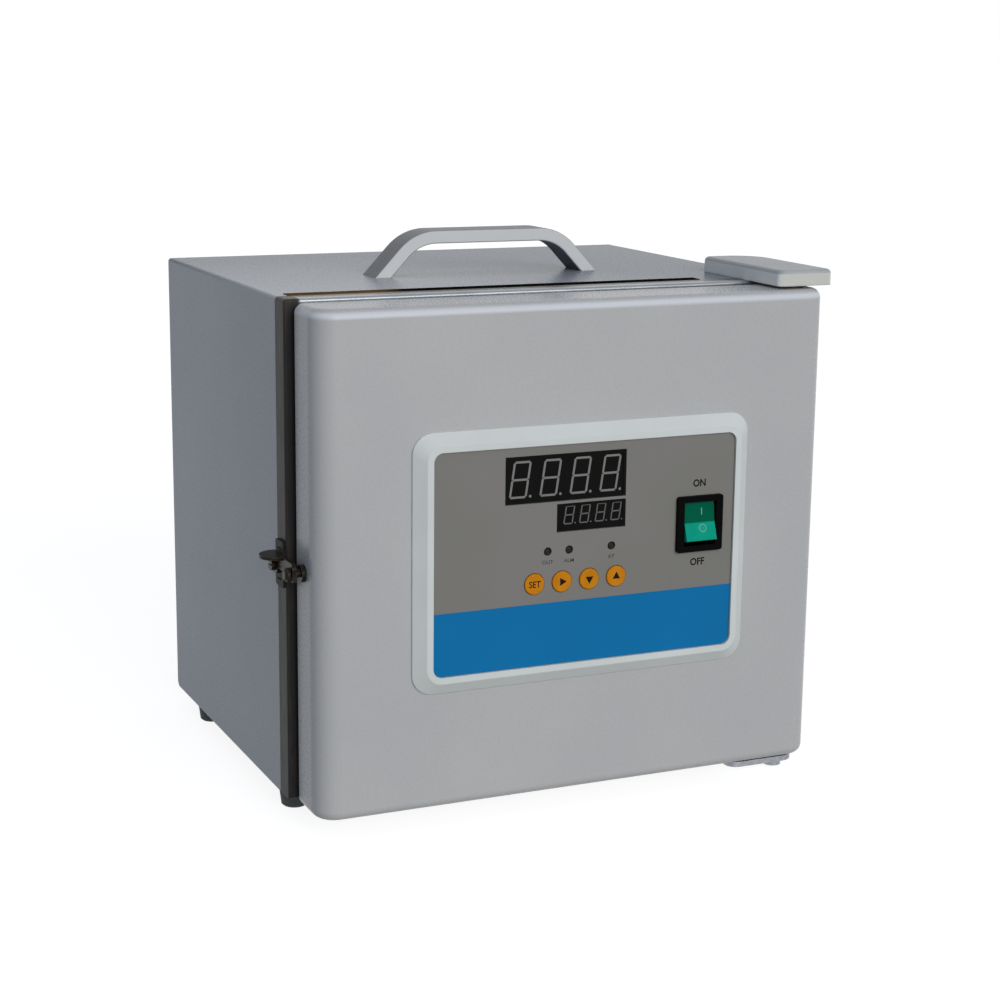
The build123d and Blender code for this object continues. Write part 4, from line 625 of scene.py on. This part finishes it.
# Marks printed on the four keys: a word and three arrows, each turned to where it points
keyWord = {"heightMm": 3.3, "boldMm": 0.06, "wide": 0.92, "ink": "blackInk"}
keyArrow = {"corners": 3, "radiusMm": 2.5, "thickMm": 0.1,
            "turns": {"key_shift": -90, "key_down": 180, "key_up": 0}}


def keyMiddle(name):
    low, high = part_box(name)
    return Vector(((low[0] + high[0]) / 2, low[1], (low[2] + high[2]) / 2))


printText("mark_mode", "SET", keyWord, keyMiddle("key_mode"), "key_mode")
for keyName, turn in keyArrow["turns"].items():
    arrow = flatShape(keyArrow["corners"], keyArrow["radiusMm"] * mm, keyArrow["thickMm"] * mm, turn)
    arrow.data.transform(Matrix.Translation(keyMiddle(keyName)) @ standUp())
    settle(arrow, keyName.replace("key", "mark"), "blackInk", keyName)
print("stage: legends and key marks printed")

# Marks on the rocker's two faces, above and below the crease in its middle. Angles are in degrees.
rocker = {
    "lean": 13.0, "creaseMm": 4.6, "upperTilt": 7.0, "lowerTilt": 19.0, "asideMm": 1.4,
    "upperMm": 5.3, "lowerMm": 3.6, "barMm": 4.0, "barWidthMm": 0.6,
    "ringMm": 2.3, "ringWallMm": 0.7, "ringSides": 32, "dotMm": 0.7, "thickMm": 0.16,
}
pivot = next(Vector(joint["pos_m"]) for joint in frame["joints"] if joint["name"] == "rocker_tilt")
lean = math.radians(rocker["lean"])
outward = Vector((0, -math.cos(lean), math.sin(lean)))
markThick = rocker["thickMm"] * mm


def rockerPlace(side, alongMm, tilt):
    # alongMm from the crease, on the face above it for side 1 and below it for -1
    slope = math.radians(tilt)
    along = Vector((0, side * math.sin(slope), side * math.cos(slope)))
    crease = pivot + outward * rocker["creaseMm"] * mm + Vector((rocker["asideMm"] * mm, 0, 0))
    return Matrix.Translation(crease + along * alongMm * mm) @ standUp(90 - tilt)


mark = displayBar(rocker["barMm"] * mm, rocker["barWidthMm"] * mm, markThick)
mark.data.transform(rockerPlace(1, rocker["upperMm"], rocker["upperTilt"]))
settle(mark, "mark_rocker_on", "milkyGreen", "rocker")

disc = flatShape(rocker["ringSides"], rocker["ringMm"] * mm, markThick)
pickFaces(disc, lambda face: abs(face.normal.z) > levelFace)
bpy.ops.mesh.inset(thickness=rocker["ringWallMm"] * mm)
bpy.ops.mesh.bridge_edge_loops()
leaveFaces()
ring = joinAll([disc, flatShape(dotSides, rocker["dotMm"] * mm / 2, markThick)])
ring.data.transform(rockerPlace(-1, rocker["lowerMm"], rocker["lowerTilt"]))
settle(ring, "mark_rocker_off", "milkyGreen", "rocker")
print("stage: rocker marks made")

# Floor and light: a white sweep that keeps the object's shadow, a low warm key light, a cool even sky
studio = {
    "floorM": 30.0, "floorGrey": "#9c9c9c", "floorGlow": 0.88,
    "keyFrom": (0.1, -0.93, 0.27), "keyStrength": 1.95, "keyWide": 40.0, "keyColour": (1.0, 0.985, 0.95),
    "skyStrength": 0.3, "skyColour": (0.86, 0.96, 1.12, 1.0),
}


def seenRays(tree):
    # 1 for camera, glossy and transmission rays, and 0 for the rays that light the object
    rays = addNode(tree, "ShaderNodeLightPath").outputs
    some = addNode(tree, "ShaderNodeMath", {0: rays["Is Camera Ray"], 1: rays["Is Glossy Ray"]},
                   operation="ADD", use_clamp=True).outputs[0]
    return addNode(tree, "ShaderNodeMath", {0: some, 1: rays["Is Transmission Ray"]},
                   operation="ADD", use_clamp=True).outputs[0]


deselectAll()
bpy.ops.mesh.primitive_plane_add(size=studio["floorM"], location=(0, 0, 0))
floor = bpy.context.object
floor.name = "studio_floor"
sweep = bpy.data.materials.new("whiteSweep")
sweep.use_nodes = True
tree = sweep.node_tree
tree.nodes.clear()
glow = addNode(tree, "ShaderNodeMath", {0: seenRays(tree), 1: studio["floorGlow"]}, operation="MULTIPLY")
light = addNode(tree, "ShaderNodeEmission", {"Strength": glow.outputs[0]})
paper = addNode(tree, "ShaderNodeBsdfDiffuse", {"Color": studio["floorGrey"]})
both = addNode(tree, "ShaderNodeAddShader", {0: paper.outputs[0], 1: light.outputs[0]})
addNode(tree, "ShaderNodeOutputMaterial", {"Surface": both.outputs[0]})
floor.data.materials.append(sweep)

bpy.ops.object.light_add(type="SUN")
key = bpy.context.object
key.name = "key_light"
key.data.energy = studio["keyStrength"]
key.data.angle = math.radians(studio["keyWide"])
key.data.color = studio["keyColour"]
key.rotation_euler = Vector(studio["keyFrom"]).to_track_quat("Z", "Y").to_euler()

world = bpy.data.worlds.new("studio")
bpy.context.scene.world = world
world.use_nodes = True
tree = world.node_tree
tree.nodes.clear()
sky = addNode(tree, "ShaderNodeBackground", {"Color": studio["skyColour"], "Strength": studio["skyStrength"]})
white = addNode(tree, "ShaderNodeBackground", {"Color": "#ffffff", "Strength": 1.0})
both = addNode(tree, "ShaderNodeMixShader", {0: seenRays(tree), 1: sky.outputs[0], 2: white.outputs[0]})
addNode(tree, "ShaderNodeOutputWorld", {"Surface": both.outputs[0]})
print("stage: floor and light set")

# The camera stands where the photograph was taken from. Its place is from the cabinet's lower
# front left corner, its angles are in degrees, and its focal length is in pixels of a frame 1000 wide.
view = {"yaw": 24.21, "pitch": 12.34, "roll": -0.65, "placeMm": (-316.8, -980.8, 381.7),
        "focalPixels": 2064.1, "framePixels": 1000, "sensorMm": 36.0, "clipMm": 10}
yaw, pitch, roll = (math.radians(view[name]) for name in ("yaw", "pitch", "roll"))
forward = Vector((math.sin(yaw) * math.cos(pitch), math.cos(yaw) * math.cos(pitch), -math.sin(pitch)))
right = Vector((math.cos(yaw), -math.sin(yaw), 0))
down = forward.cross(right)
cameraRight = right * math.cos(roll) + down * math.sin(roll)
cameraUp = right * math.sin(roll) - down * math.cos(roll)
deselectAll()
bpy.ops.object.camera_add()
camera = bpy.context.object
camera.data.sensor_width = view["sensorMm"]
camera.data.lens = view["focalPixels"] * view["sensorMm"] / view["framePixels"]
camera.data.clip_start = view["clipMm"] * mm
turned = Matrix((cameraRight, cameraUp, -forward)).transposed().to_4x4()
camera.matrix_world = Matrix.Translation(Vector(shellLow) + Vector(view["placeMm"]) * mm) @ turned
bpy.context.scene.camera = camera
bpy.context.scene.view_settings.view_transform = "Standard"
print("stage: camera set")
